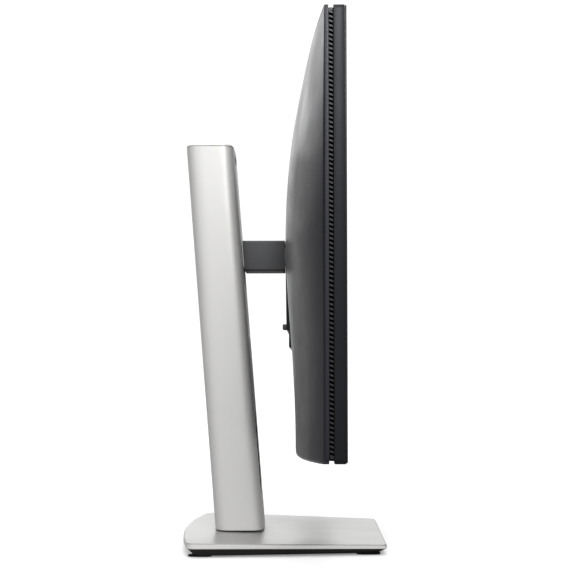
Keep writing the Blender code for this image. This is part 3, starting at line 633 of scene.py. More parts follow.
@dataclass
class RearCover:
    """The curved rear cover, with its mount bay, port bay and the holes for the controls."""

    crown_z: float = 0.285
    crown_depth: float = 0.0512
    foot_depth: float = 0.0412
    edge_depth: float = 0.0171
    start_depth: float = 0.0141
    top_loss: float = 0.55
    boss_half: float = 0.078
    boss_fade: float = 0.003
    boss_step: float = 0.207
    boss_depth: float = 0.0500
    ledge: float = 0.190
    ledge_depth: float = 0.0478
    ramp: float = 0.0016
    corner_radius: float = 0.004
    crease_radius: float = 0.0006
    groove_at: float = 0.0015
    groove_half: float = 0.0007
    groove_depth: float = 0.0006
    lip_radius: float = 0.0009
    wall: float = 0.0018
    spacing: float = 0.0045
    nearest_line: float = 0.0012
    sliver: float = 0.00002
    bay_margin: float = 0.004
    nut_radius: float = 0.0125
    nut_depth: float = 0.034
    stick_half: float = 0.0071
    key_half: float = 0.0051
    button_clear: float = 0.0004
    button_flange: Pair = (0.003, 0.001)
    lock_place: Pair = (-0.168, 0.152)
    lock_half: Pair = (0.0035, 0.0015)
    sharp: float = 28.0

    def __post_init__(self) -> None:
        """Read the display's place from the CAD nodes."""
        low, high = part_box("rear_cover")
        self.half, self.bottom, self.top = high.x, low.z, high.z
        self.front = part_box("front_frame")[0].y
        low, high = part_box("mount_plate")
        margin = self.bay_margin
        shelves = (0.0400, 0.0358)
        self.mount_bay = Bay(high.x + margin, low.z - margin, high.z + margin, 0.0335, shelves, 0.013)
        port_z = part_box("port_plate")[0].z - 0.0004
        self.port_bay = Bay(0.130, 0.132, port_z, 0.017, (0.0410, 0.0185), 0.122)
        self.joystick = centre_of("joystick_cap")[::2]
        self.power_key = centre_of("power_button")[::2]

    def bare_depth(self, x: Array, z: Array) -> Array:
        """The depth of the cover's surface without bays.

        The crown falls off upwards with a power of the height and downwards with
        1 - (1 - t^1.5)^2, and sinks to the edge depth with a power of the half width. The boss
        round the mount bay stands proud of that and ends below in two short ramps.

        Args:
            x: each point's x.
            z: each point's z.

        Returns:
            Each point's depth.
        """
        up = np.clip((z - self.crown_z) / (self.top - self.crown_z), 0, 1)
        down = np.clip((self.crown_z - z) / (self.crown_z - self.bottom), 0, 1)
        rise = (self.crown_depth - self.edge_depth) * (1 - self.top_loss * up**2.3)
        rise = rise - (self.crown_depth - self.foot_depth) * (1 - (1 - down**1.5) ** 2)
        side = np.clip(np.abs(x) / self.half, 0, 1)
        depth = self.edge_depth + rise * (1 - side ** (4.0 - 2.0 * up + 2.2 * down**3))
        climb = np.clip((z - self.boss_step) / (self.crown_z - self.boss_step), 0, 1) ** 0.7
        upper = self.boss_depth + (self.crown_depth - self.boss_depth) * climb
        stepped = smooth_step((z - self.boss_step) / self.ramp + 0.5)
        level = self.ledge_depth + (upper - self.ledge_depth) * stepped
        proud = np.clip(level - depth, 0, None) * (z < self.crown_z)
        fade_down = smooth_step((z - self.ledge) / self.ramp)
        fade_out = smooth_step((self.boss_half - np.abs(x)) / self.boss_fade)
        return depth + proud * fade_down * fade_out

    def _sink(self, depth: Array, inside: Array, bay: Bay) -> Array:
        """Sink a bay: round its lip outside, and step down its wall just inside.

        Args:
            depth: the surface so far.
            inside: distance inside the bay's rim, negative outside it.
            bay: the bay, whose wall has a line of points at each shelf.

        Returns:
            The surface with the bay.
        """
        rounded = depth - rounding(-inside, self.lip_radius) * (inside <= 0)
        share = np.interp(inside, self.sliver * np.arange(4), np.arange(4))
        mouth = depth - self.lip_radius
        first, second = bay.shelves
        wall = np.where(share < 1, mouth + (first - mouth) * share, first)
        wall = np.where(share >= 1, first + (second - first) * (share - 1), wall)
        wall = np.where(share >= 2, second + (bay.floor - second) * (share - 2), wall)
        return np.where(inside > 0, wall, rounded)

    def _lines(self, low: float, high: float, rims: list[tuple[float, int]], marks: list[float]) -> Array:
        """Grid lines: even spacing, plus close ones at bay rims, steps and the outer edge.

        Args:
            low: the first line.
            high: the last line.
            rims: each bay rim's value, with the sign of the way into the bay.
            marks: more values that need a line.

        Returns:
            The lines in order.
        """
        even = np.linspace(low, high, int((high - low) / self.spacing))
        special = marks + [low, high]
        crease = [self.crease_radius * share for share in (0.1, 0.35, 1.0)]
        groove = [self.groove_at + self.groove_half * share for share in (-0.5, 0.0, 0.5, 1.0, 1.8)]
        for distance in crease + groove:
            special += [low + distance, high - distance]
        for rim, inward in rims:
            special += [rim - inward * self.lip_radius * share for share in (1.0, 0.5, 0.18, 0.03)]
            special += [rim + inward * self.sliver * step for step in range(4)]
        special = np.unique(np.array(special))
        apart = np.abs(even[:, None] - special[None]).min(axis=1)
        return np.unique(np.concatenate([even[apart > self.nearest_line], special]))

    def _grid(self) -> tuple[Array, Array, Array]:
        """Points of the outer skin as (z, x, 3), with each point's line values.

        Returns:
            The points, and the x and z of the lines they lie on.
        """
        bays, holes = (self.mount_bay, self.port_bay), self.holes()
        x_rims = [(way * bay.half, -way) for bay in bays for way in (-1, 1)]
        z_rims = [rim for bay in bays for rim in ((bay.low, 1), (bay.high, -1))]
        edges = [self.boss_half - self.boss_fade * quarter / 4 for quarter in range(5)]
        edges += [bay.opening_half for bay in bays]
        x_marks = [way * edge for edge in edges for way in (-1, 1)]
        x_marks += [value for hole in holes for value in hole[:2]]
        z_marks = [self.ledge + self.ramp * quarter / 4 for quarter in range(5)]
        z_marks += [self.boss_step + self.ramp * quarter / 4 for quarter in range(-2, 3)]
        z_marks += [value for hole in holes for value in hole[2:]]
        x = self._lines(-self.half, self.half, x_rims, x_marks)
        z = self._lines(self.bottom, self.top, z_rims, z_marks)
        x = np.concatenate([x[:1], x, x[-1:]])
        z = np.concatenate([z[:1], z, z[-1:]])
        grid_x, grid_z = np.meshgrid(x, z)
        depth = self.bare_depth(grid_x, grid_z)
        to_rim = np.minimum(self.half - np.abs(grid_x), np.minimum(grid_z - self.bottom, self.top - grid_z))
        depth = depth - rounding(to_rim, self.crease_radius)
        depth = depth - self.groove_depth * np.exp(-(((to_rim - self.groove_at) / self.groove_half) ** 2))
        for bay in bays:
            depth = self._sink(depth, bay.inside(grid_x, grid_z), bay)
        depth[0, :] = depth[-1, :] = self.start_depth
        depth[:, 0] = depth[:, -1] = self.start_depth
        return self._round_corners(grid_x, grid_z, depth), grid_x, grid_z

    def _round_corners(self, x: Array, z: Array, depth: Array) -> Array:
        """Draw each square corner in to a quarter circle: (a, b) becomes (a, b) max(a, b) / |(a, b)|.

        Args:
            x: each point's x.
            z: each point's z.
            depth: each point's depth.

        Returns:
            The points as (z, x, 3).
        """
        middle = (self.top + self.bottom) / 2
        tall = (self.top - self.bottom) / 2
        over_x = np.clip(np.abs(x) - (self.half - self.corner_radius), 0, None)
        over_z = np.clip(np.abs(z - middle) - (tall - self.corner_radius), 0, None)
        length = np.hypot(over_x, over_z)
        share = np.where(length > 0, np.maximum(over_x, over_z) / np.maximum(length, 1e-9), 1.0)
        new_x = x - np.sign(x) * over_x * (1 - share)
        new_z = z - np.sign(z - middle) * over_z * (1 - share)
        return np.stack([new_x, self.front + depth, new_z], axis=2)

    def holes(self) -> list[tuple[float, float, float, float]]:
        """The openings for button, joystick, power key and lock.

        Returns:
            Each opening's lowest and highest x, then its lowest and highest z.
        """
        low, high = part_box("release_button")
        centre = centre_of("release_button")
        flange_x, flange_z = self.button_flange
        button = (
            (high.x - low.x) / 2 - flange_x + self.button_clear,
            (high.z - low.z) / 2 - flange_z + self.button_clear,
        )
        openings = [
            (centre[::2], button),
            (self.joystick, (self.stick_half, self.stick_half)),
            (self.power_key, (self.key_half, self.key_half)),
            (self.lock_place, self.lock_half),
        ]
        return [(x - wide, x + wide, z - tall, z + tall) for (x, z), (wide, tall) in openings]

    def _kept(self, points: Array, x: Array, z: Array) -> Array:
        """Which cells of the grid are kept: those outside the holes, the bays' openings and the nut.

        Args:
            points: the points as (z, x, 3).
            x: the x of the lines they lie on.
            z: the z of the lines they lie on.

        Returns:
            An array of booleans.
        """
        cells = [
            (values[:-1, :-1] + values[1:, :-1] + values[:-1, 1:] + values[1:, 1:]) / 4
            for values in (x, z, points[..., 1] - self.front)
        ]
        x, z, depth = cells
        keep = np.ones_like(x, dtype=bool)
        for low_x, high_x, low_z, high_z in self.holes():
            keep &= ~((x > low_x) & (x < high_x) & (z > low_z) & (z < high_z))
        reach = 4 * self.sliver
        ports = self.port_bay.opening(x, z, depth, self.port_bay.high, reach)
        latch = self.mount_bay.opening(x, z, depth, self.mount_bay.low, reach)
        arm_z = (self.mount_bay.low + self.mount_bay.high) / 2
        nut = (np.hypot(x, z - arm_z) < self.nut_radius) & (depth < self.nut_depth)
        return keep & ~ports & ~latch & ~nut

    def build(self) -> None:
        """The outer skin with its wall thickness, and a near-black cup of painted shade behind the lock slot.
        """
        points, x, z = self._grid()
        keep = self._kept(points, x, z)
        quads = grid_quads(*x.shape, False, False)[keep.ravel()]
        made = make_mesh("rear_cover_skin", points.reshape(-1, 3), quads.tolist(), self.sharp)
        if made.data.polygons[len(made.data.polygons) // 2].normal.y < 0:
            made.data.flip_normals()
        wall = made.modifiers.new("wall", "SOLIDIFY")
        wall.thickness = self.wall
        wall.offset = -1.0
        dress(settle(made, self.sharp), "display", COVER_PLASTIC, "rear_cover")
        self._build_lock_slot()

    def _build_lock_slot(self) -> None:
        """A near-black cup of painted shade behind the cable lock's slot."""
        clear = 0.0002
        wide, tall = self.lock_half
        outline = rounded_outline(wide - clear, tall - clear, 0.0010, 5)
        x, z = self.lock_place
        surface = self.front + float(self.bare_depth(np.array(x), np.array(z)))
        profile = [(0.0, -0.0090), (0.0, 0.0001), (0.0007, 0.0001), (0.0007, -0.0070)]
        rings = swept(outline, profile, self.lock_place, surface)
        dress(closed_loft("lock_slot", rings), "display", SHADE_BLACK)


@dataclass
class FrontHousing:
    """The front frame, the panel's black edge, the vented groove and the bottom bezel's lamp."""

    corner_radius: float = 0.004
    frame_depth: float = 0.0102
    frame_wall: float = 0.0018
    frame_soft: float = 0.0004
    edge_depth: float = 0.0013
    chamfer: float = 0.0016
    vent_inset: float = 0.0026
    vent_wall: float = 0.0016
    vent_start: float = 0.0087
    vent_end: float = 0.0144
    vent_pitch: float = 0.00361
    vent_ends: Pair = (0.0065, 0.012)
    # insets of the near-black sheet behind the vent bars, which paints the shade inside the housing
    lining: Pair = (0.0062, 0.0066)
    corner_wall: float = 0.0024
    bar_height: float = 0.00145
    bar_slant: float = 0.0012
    hole_start: float = 0.0107
    hole_end: float = 0.0137
    bezel_soft: float = 0.0006
    lamp_place: Pair = (0.285, 0.0035)

    def __post_init__(self) -> None:
        """Read the frame's place from its CAD node."""
        low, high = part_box("front_frame")
        self.front = low.y
        self.half, self.bottom, self.top = high.x, low.z, high.z
        self.middle = (low.z + high.z) / 2
        self.outline = rounded_outline(self.half, (high.z - low.z) / 2, self.corner_radius, 12)

    def _ring(self, name: str, profile: Profile) -> Piece:
        """A closed profile of (inset, depth) carried round the display's outline.

        At the foot, a point at depth y is no lower than the bottom plus the chamfer less y.

        Args:
            name: the piece's name.
            profile: pairs of inset and depth.

        Returns:
            The linked object.
        """
        rings = swept(self.outline, profile, (0.0, self.middle), self.front)
        chamfered = self.bottom + self.chamfer - (rings[..., 1] - self.front)
        rings[..., 2] = np.maximum(rings[..., 2], chamfered)
        return ring_skin(name, rings, 40.0)

    def _build_frame(self) -> None:
        """The moulded frame, with small round edges and a shadow gap behind the panel's edge."""
        back, wall, start = self.frame_depth, self.frame_wall, self.edge_depth
        front = [(0.0002, start + 0.0001), (0.0, start + 0.0004)]
        rear = round_edge(0.0, back, self.frame_soft, 5)
        inner = [(wall, back), (wall, start + 0.0001)]
        dress(self._ring("front_frame_ring", front + rear + inner), "display", FRAME_PLASTIC, "front_frame")
        behind = start - 0.0002
        edge = [(0.0004, 0.0003), (0.0003, behind), (wall, behind), (wall, 0.0), (0.0007, 0.0)]
        dress(self._ring("panel_edge_band", edge), "display", EDGE_BLACK)

    def _build_vents(self) -> None:
        """The groove's wall: two rails and a lining in near-black painted shade, and a row of slanted bars on
        three sides in a lighter tone that paints light on them.
        """
        near, far = self.vent_inset, self.vent_inset + self.vent_wall
        strips = (
            ("vent_rail_front", near, far, self.vent_start, self.hole_start, ("vent_frame",)),
            ("vent_rail_rear", near, far, self.hole_end, self.vent_end, ()),
            ("vent_lining", *self.lining, self.vent_start, self.vent_end, ()),
        )
        for name, out, within, start, end, replaced in strips:
            profile = [(out, start), (out, end), (within, end), (within, start)]
            # rails and lining: near-black painted shade of the groove's inside
            dress(self._ring(name, profile), "display", SHADE_BLACK, *replaced)
        # bars in a lighter tone of the trim plastic: painted light
        dress(blocks_mesh("vent_bars", self._bars()), "display", LIT_VENT_PLASTIC)

    def _bars(self) -> Array:
        """Slanted bars up both sides and along the top, and a plain wall along the bottom.

        A bar's lower edge climbs by the slant from the groove's front to its back.

        Returns:
            The blocks' corners as an array of (blocks, 8, 3).
        """
        lap = 0.0001
        depths = (self.front + self.hole_start - lap, self.front + self.hole_end + lap)
        half = self.half - self.vent_inset
        low, high = self.bottom + self.vent_inset, self.top - self.vent_inset
        side_end, top_end = self.vent_ends
        heights = self.middle + self._places(high - low - side_end)
        rows = [self._bar_row(heights, side * half, -side * self.vent_wall, depths, True) for side in (-1, 1)]
        rows.append(self._bar_row(self._places(2 * half - top_end), high, -self.vent_wall, depths, False))
        walls = [
            block_corners((side * half, side * (half - self.vent_wall)), depths, (end, end + length))
            for side in (-1, 1)
            for end, length in ((low, self.corner_wall), (high, -self.corner_wall))
        ]
        walls.append(block_corners((-half, half), depths, (low, low + self.vent_wall)))
        return np.concatenate(rows + [np.array(walls)])

    def _places(self, length: float) -> Array:
        """The centres of the bars that fit in a length, about its middle."""
        count = int(length / self.vent_pitch)
        return (np.arange(count + 1) - count / 2) * self.vent_pitch

    def _bar_row(
        self, places: Array, wall: float, thick: float, depths: Pair, upright: bool
    ) -> Array:
        """A row of slanted bars along one side.

        Args:
            places: each bar's centre along the side.
            wall: where the row's outer face lies.
            thick: from the outer face to the inner one.
            depths: the y of the bars' two ends.
            upright: whether the row runs up a side, or else along the top.

        Returns:
            The bars' corners as an array of (bars, 8, 3).
        """
        half = self.bar_height / 2
        slant = self.bar_slant / 2
        along = np.array([-half - slant, -half - slant, half - slant, half - slant])
        run = np.concatenate([along, along + 2 * slant])[None] + places[:, None]
        out = np.tile([wall, wall + thick, wall + thick, wall], 2)[None] + 0 * run
        y = np.repeat(depths, 4)[None] + 0 * run
        return np.stack([out, y, run] if upright else [run, y, out], axis=2)

    def _build_bezel(self) -> None:
        """The bottom bezel with a softened front, and the status lamp in it."""
        low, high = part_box("bottom_bezel")
        soft = self.bezel_soft
        outline = rounded_outline((high.x - low.x) / 2, (high.z - low.z) / 2, 0.0007, 4)
        profile = [(soft, 0.0), (soft * 0.3, soft * 0.3), (0.0, soft), (0.0, high.y - low.y)]
        rings = swept(outline, profile, (0.0, (low.z + high.z) / 2), low.y)
        dress(closed_loft("bottom_bezel_bar", rings), "display", FRAME_PLASTIC, "bottom_bezel")
        lamp_x, lamp_up = self.lamp_place
        profile = [(0.0, 0.0), (0.0, -0.0001), (0.0002, -0.0002)]
        rings = swept(rounded_outline(0.0030, 0.0006, 0.0005, 5), profile, (lamp_x, low.z + lamp_up), low.y)
        dress(closed_loft("status_lamp", rings), "display", LENS)

    def build(self) -> None:
        """Build every piece of the housing's front."""
        self._build_frame()
        self._build_vents()
        self._build_bezel()


@dataclass
class Controls:
    """Release button, joystick and power key, with the round collars of the last two."""

    cover: RearCover
    button_radius: float = 0.0016
    button_soft: float = 0.0009
    cap_soft: float = 0.0012
    key_radius: float = 0.0045
    key_soft: float = 0.0006
    joystick_collar: Pair = (0.0071, 0.0106)
    power_collar: Pair = (0.0050, 0.0074)

    def build(self) -> None:
        """Build each control on its own body."""
        self._release()
        self._joystick()
        self._power()

    def _release(self) -> None:
        """A push button: a rounded bar with a dished face, and a flange behind the cover."""
        low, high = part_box("release_button")
        flange_x, flange_z = self.cover.button_flange
        half = ((high.x - low.x) / 2 - flange_x, (high.z - low.z) / 2 - flange_z)
        flange = [(-0.0009, low.y), (-0.0009, low.y + 0.0022), (0.0, low.y + 0.0022)]
        rim = round_edge(0.0, high.y, self.button_soft, 6)
        dish = [(0.0014, high.y - 0.00005), (0.0019, high.y - 0.0004), (0.0023, high.y - 0.00045)]
        outline = rounded_outline(*half, self.button_radius, 8)
        rings = swept(outline, flange + rim + dish, (0.0, (low.z + high.z) / 2))
        dress(closed_loft("release_button_key", rings, 40.0), "release_button", ARM_PLASTIC, "release_button")

    def _collar(self, name: str, place: Pair, radii: Pair, sides: int = 72) -> None:
        """A low round collar that lies on the cover's slope.

        A point at radius r and angle t is at x + r cos t, z + r sin t, and its depth is the cover's
        bare depth there plus the profile's rise.

        Args:
            name: the piece's name.
            place: the collar's centre as x and z.
            radii: its inner and outer radius.
            sides: steps round it.
        """
        inner, outer = radii
        profile = [(inner, -0.0032), (inner, 0.0001), (inner + 0.0001, 0.0003), (inner + 0.0004, 0.0004)]
        profile += [(outer - 0.0010, 0.0004), (outer - 0.0004, 0.0003), (outer, -0.0001), (outer, -0.0004)]
        profile += [(outer - 0.0004, -0.0012), (inner + 0.0008, -0.0032)]
        radius, rise = np.split(np.array(profile), 2, axis=1)
        angle = np.linspace(0.0, 2 * math.pi, sides, endpoint=False)[None]
        x = place[0] + radius * np.cos(angle)
        z = place[1] + radius * np.sin(angle)
        y = self.cover.front + self.cover.bare_depth(x, z) + rise
        dress(ring_skin(name, np.stack([x, y, z], axis=2)), "display", COVER_PLASTIC)

    def _joystick(self) -> None:
        """A small domed cap with a dimple, on its stem, and its collar."""
        low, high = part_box("joystick_cap")
        x, _, z = centre_of("joystick_cap")
        tall, radius = high.y - low.y, (high.x - low.x) / 2
        waist_radius = radius - 0.0009
        bore = [(0.0, 0.0031), (0.0019, 0.0031), (0.0019, 0.0), (waist_radius, 0.0)]
        waist = [(waist_radius, tall * 0.40), (radius, tall * 0.58)]
        rim = round_edge(radius, tall, self.cap_soft, 7, -1)
        floor = tall - 0.0008
        dimple = [(0.0026, tall - 0.0001), (0.0018, tall - 0.0005), (0.0008, floor), (0.0, floor)]
        piece = turned("joystick_thumb_cap", bore + waist + rim + dimple, (x, low.y, z))
        dress(piece, "joystick_cap", ARM_PLASTIC, "joystick_cap")
        self._collar("joystick_collar", self.cover.joystick, self.joystick_collar)

    def _power(self) -> None:
        """A round key with a slightly hollow face and a flange behind the cover, and its collar."""
        low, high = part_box("power_button")
        x, _, z = centre_of("power_button")
        tall, flange = high.y - low.y, (high.x - low.x) / 2
        foot = [(0.0, 0.0), (flange, 0.0), (flange, 0.0016), (self.key_radius, 0.0016)]
        rim = round_edge(self.key_radius, tall, self.key_soft, 5, -1)
        hollow = [(0.0026, tall - 0.0003), (0.0, tall - 0.0004)]
        piece = turned("power_key", foot + rim + hollow, (x, low.y, z))
        dress(piece, "power_button", ARM_PLASTIC, "power_button")
        self._collar("power_collar", self.cover.power_key, self.power_collar)


@dataclass
class Sockets:
    """What shows inside the power inlet from below."""

    blade: Pair = (0.0010, 0.0022)
    places: tuple[Pair, ...] = ((-0.007, 0.0016), (0.0, -0.0020), (0.007, 0.0016))
    mouth: float = 0.004
    floor: float = 0.0038

    def build(self) -> None:
        """The inlet's three blades."""
        low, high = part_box("power_inlet")
        x, y, _ = centre_of("power_inlet")
        thin, wide = self.blade
        z = (low.z + self.mouth, high.z - self.floor)
        blades = [
            block_corners((x + across - thin, x + across + thin), (y + along - wide, y + along + wide), z)
            for across, along in self.places
        ]
        dress(blocks_mesh("inlet_blades", np.array(blades)), "display", STEEL)


# ---------------------------------------------------------------- stand


@dataclass(frozen=True)
class Opening:
    """A tall rounded opening in the column."""

    half: float
    low: float
    high: float
    corner: float

    @property
    def centre(self) -> Pair:
        """The opening's middle, as x and z."""
        return 0.0, (self.low + self.high) / 2

    def outline(self, shrink: float = 0.0) -> Array:
        """The opening's outline about its own centre, drawn in by the shrink."""
        tall = (self.high - self.low) / 2
        return rounded_outline(self.half - shrink, tall - shrink, self.corner - shrink, 14)


@dataclass
class Column:
    """The leaning column with its cap, slot trim and cable passage."""

    power_front: float = 5.5
    power_back: float = 4.2
    wall: float = 0.0025
    foot_soft: float = 0.0005
    top_soft: float = 0.0003
    cap_soft: float = 0.0018
    slot: Opening = Opening(0.0165, 0.200, 0.386, 0.006)
    passage: Opening = Opening(0.020, 0.041, 0.129, 0.0199)
    sides: int = 192
    levels: int = 48

    def __post_init__(self) -> None:
        """Read the column's ends and lean from its CAD shell and cap."""
        low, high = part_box("column_shell")
        self.bottom, self.top = low.z, high.z
        cap_low, cap_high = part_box("column_cap")
        self.half_width = cap_high.x
        self.half_depth = (cap_high.y - cap_low.y) / 2
        self.foot_y = low.y + self.half_depth
        self.lean = (high.y - self.half_depth - self.foot_y) / (self.top - self.bottom)

    def centre_y(self, z: Array | float) -> Array | float:
        """The column's centre line at height z."""
        return self.foot_y + self.lean * (z - self.bottom)

    def outline(self, shrink: float) -> Array:
        """|x/a|^n + |y/b|^n = 1 with a squarer front, as an array of n by 2.

        Args:
            shrink: how far the outline is drawn in.

        Returns:
            An array of n by 2.
        """
        angle = np.linspace(0.0, 2 * math.pi, self.sides, endpoint=False)
        power = np.where(np.sin(angle) < 0, self.power_front, self.power_back)
        across = np.sign(np.cos(angle)) * np.abs(np.cos(angle)) ** (2 / power)
        back = np.sign(np.sin(angle)) * np.abs(np.sin(angle)) ** (2 / power)
        return np.column_stack([across * (self.half_width - shrink), back * (self.half_depth - shrink)])

    def _rings(self, profile: Profile) -> Array:
        """Rings of the column's outline, each moved with the lean.

        Args:
            profile: pairs of shrink and height.

        Returns:
            An array of (profile, sides, 3).
        """
        made = []
        for shrink, z in profile:
            flat = self.outline(shrink) + (0.0, self.centre_y(z))
            made.append(np.column_stack([flat, np.full(self.sides, z)]))
        return np.array(made)

    @staticmethod
    def _cutter(name: str, opening: Opening, y: Pair) -> Piece:
        """A closed block of an opening's outline, between two depths."""
        return closed_loft(name, swept(opening.outline(), [(0.0, y[0]), (0.0, y[1])], opening.centre))

    def _build_shell(self) -> None:
        """The tube, cut for the arm's slot and the cable passage."""
        heights = np.linspace(self.bottom, self.top, self.levels)
        outer = [(self.foot_soft, self.bottom), (0.0, self.bottom + self.foot_soft)]
        outer += [(0.0, z) for z in heights[1:-1]]
        outer += [(0.0, self.top - self.top_soft), (self.top_soft, self.top)]
        inner = [(self.wall, z) for z in heights[::-1]]
        shell = ring_skin("column_tube", self._rings(outer + inner))
        slot_y = float(self.centre_y(self.slot.centre[1]))
        slot_tool = self._cutter("slot_tool", self.slot, (slot_y - 0.05, slot_y - 0.009))
        passage_tool = self._cutter("passage_tool", self.passage, (0.0, 0.1))
        cut(shell, slot_tool, passage_tool)
        dress(shell, "column", SILVER, "column_shell")

    def _build_cap(self) -> None:
        """The cap: a quarter-round rim and a flat top."""
        low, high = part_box("column_cap")
        rim = round_edge(0.0, high.z, self.cap_soft, 8)
        top = [(inset, high.z) for inset in (0.006, 0.014, 0.0235)]
        piece = closed_loft("column_cap_plate", self._rings([(0.0002, low.z)] + rim + top))
        dress(piece, "column", SILVER, "column_cap")

    def _sleeve(self, name: str, opening: Opening, shrink: float, profile: Profile) -> Piece:
        """A profile of (inset, y from the centre line) round an opening, leaning with the column.

        Args:
            name: the piece's name.
            opening: the opening that it lines.
            shrink: how far it is drawn in from the opening.
            profile: pairs of inset and y.

        Returns:
            The linked object.
        """
        rings = swept(opening.outline(shrink), profile, opening.centre)
        rings[..., 1] += self.centre_y(rings[..., 2])
        return ring_skin(name, rings, 40.0)

    def _build_linings(self) -> None:
        """The black lining of the cable passage, and the trim in the arm's slot."""
        front, back, lip, wall = -self.half_depth + 0.0009, self.half_depth - 0.0022, 0.0008, 0.0017
        profile = [(0.0, front + lip), (0.0002, front + 0.0002), (lip, front), (wall, front + lip)]
        profile += [(wall, back - lip), (lip, back), (0.0002, back - 0.0002), (0.0, back - lip)]
        lining = self._sleeve("cable_passage_lining", self.passage, 0.0004, profile)
        dress(lining, "column", FRAME_PLASTIC, "cable_liner")
        front, back, wall = -self.half_depth + 0.0007, -self.half_depth + 0.0042, 0.0009
        profile = [(0.0, front), (wall, front), (wall, back), (0.0, back)]
        dress(self._sleeve("slot_trim", self.slot, 0.0002, profile), "column", SILVER)

    def build(self) -> None:
        """Build the column's visible pieces."""
        self._build_shell()
        self._build_cap()
        self._build_linings()


@dataclass
class Base:
    """The silver base plate: a trapezoid with an arc behind, wedge-shaped in section."""

    front_half: float = 0.100
    back_half: float = 0.1225
    chord_y: float = 0.0843
    sagitta: float = 0.0123
    front_radius: float = 0.005
    back_radius: float = 0.008
    front_z: float = 0.0099
    slope: float = 0.02044
    front_thick: float = 0.0041
    taper: float = 0.00718
    chamfer: float = 0.0009
    cap_inset: float = 0.0035

    def __post_init__(self) -> None:
        """Read the plate's front edge from its CAD node."""
        self.front_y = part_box("base_plate")[0].y

    def outline(self) -> Array:
        """The plan, counter-clockwise: straight front and sides, round corners, an arc behind.

        Returns:
            An array of n by 2.
        """
        radius = (self.back_half**2 + self.sagitta**2) / (2 * self.sagitta)
        reach = math.asin(self.back_half / radius)
        angle = np.linspace(reach, -reach, 49)
        arc = np.column_stack([np.sin(angle), np.cos(angle) - 1]) * radius + (0, self.chord_y + self.sagitta)
        left, right = (-self.front_half, self.front_y), (self.front_half, self.front_y)
        points = np.concatenate([[left, right], arc])
        return np.concatenate([
            self._fillet(points[-1], points[0], points[1], self.front_radius),
            self._fillet(points[0], points[1], points[2], self.front_radius),
            self._fillet(points[1], points[2], points[3], self.back_radius),
            points[4:-2],
            self._fillet(points[-2], points[-1], points[0], self.back_radius),
        ])

    @staticmethod
    def _fillet(before: Array, corner: Array, after: Array, radius: float) -> Array:
        """Points of the arc that touches both sides of a corner.

        Args:
            before: the point before the corner.
            corner: the corner.
            after: the point after it.
            radius: the arc's radius.

        Returns:
            An array of 13 by 2.
        """
        one = (before - corner) / np.linalg.norm(before - corner)
        two = (after - corner) / np.linalg.norm(after - corner)
        half = math.acos(float(np.clip(one @ two, -1, 1))) / 2
        middle = (one + two) / np.linalg.norm(one + two)
        centre = corner + middle * radius / math.sin(half)
        first = corner + one * radius / math.tan(half) - centre
        last = corner + two * radius / math.tan(half) - centre
        share = np.linspace(0, 1, 13)[:, None]
        rays = first * (1 - share) + last * share
        return centre + rays / np.linalg.norm(rays, axis=1, keepdims=True) * radius

    def _rings(self, profile: Profile) -> Array:
        """Rings of the plan from (inset, level, lift), with level 0 on the underside and 1 on top.

        Args:
            profile: triples of inset, level and lift.

        Returns:
            An array of (profile, outline, 3).
        """
        outline = self.outline()
        normal = outline_normals(outline)
        made = []
        for inset, level, lift in profile:
            flat = outline - inset * normal
            top = self.front_z + self.slope * (flat[:, 1] - self.front_y)
            thick = self.front_thick + self.taper * (flat[:, 1] - self.front_y)
            made.append(np.column_stack([flat, top - thick * (1 - level) + lift]))
        return np.array(made)

    def build(self) -> None:
        """The plate as one skin, and a band round its side in a lighter tone of the same silver paint: a
        painted highlight where the side faces the light.
        """
        chamfer, cap, step = self.chamfer, self.cap_inset, self.chamfer * 1.1
        low_rim = [(cap, 0.0, 0.0), (0.0007, 0.0, 0.0), (0.0, 0.0, 0.0005)]
        high_rim = [(0.0, 1.0, -chamfer - 0.0002), (0.0001, 1.0, -chamfer), (step, 1.0, -0.00006)]
        high_rim += [(step + 0.0004, 1.0, 0.0), (cap, 1.0, 0.0)]
        piece = closed_loft("base_plate_skin", self._rings(low_rim + high_rim), 25.0)
        dress(piece, "base", BASE_SILVER, "base_plate")
        # side band in lighter silver: painted highlight
        out, back = -0.00012, 0.0003
        band = [(out, 0.0, 0.0006), (out, 1.0, -chamfer - 0.0001)]
        band += [(back, 1.0, -chamfer - 0.0003), (back, 0.0, 0.0008)]
        dress(ring_skin("base_edge_highlight_band", self._rings(band), 25.0), "base", LIT_EDGE_SILVER)


@dataclass
class Arm:
    """The arm's plastic cover: a square sleeve whose rear end follows the column's lean."""

    column: Column
    radius: float = 0.0022
    wall: float = 0.0018
    soft: float = 0.0005
    lap: float = 0.001

    def build(self) -> None:
        """The sleeve, with small round ends; the rear ends reach past the column's front by the lap."""
        low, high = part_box("arm_cover")
        outline = rounded_outline(high.x, (high.z - low.z) / 2, self.radius, 8)
        soft, wall = self.soft, self.wall
        front = [(0.0, soft), (soft * 0.3, soft * 0.3), (soft, 0.0), (wall, 0.0)]
        rear = [(wall, 0.0), (soft, 0.0), (soft * 0.3, -soft * 0.3), (0.0, -soft)]
        centre = (0.0, (low.z + high.z) / 2)
        rear_rings = swept(outline, rear, centre, -self.column.half_depth - self.lap)
        rear_rings[..., 1] += self.column.centre_y(rear_rings[..., 2])
        rings = np.concatenate([swept(outline, front, centre, low.y), rear_rings])
        dress(ring_skin("arm_sleeve", rings, 40.0), "carriage", ARM_PLASTIC, "arm_cover")


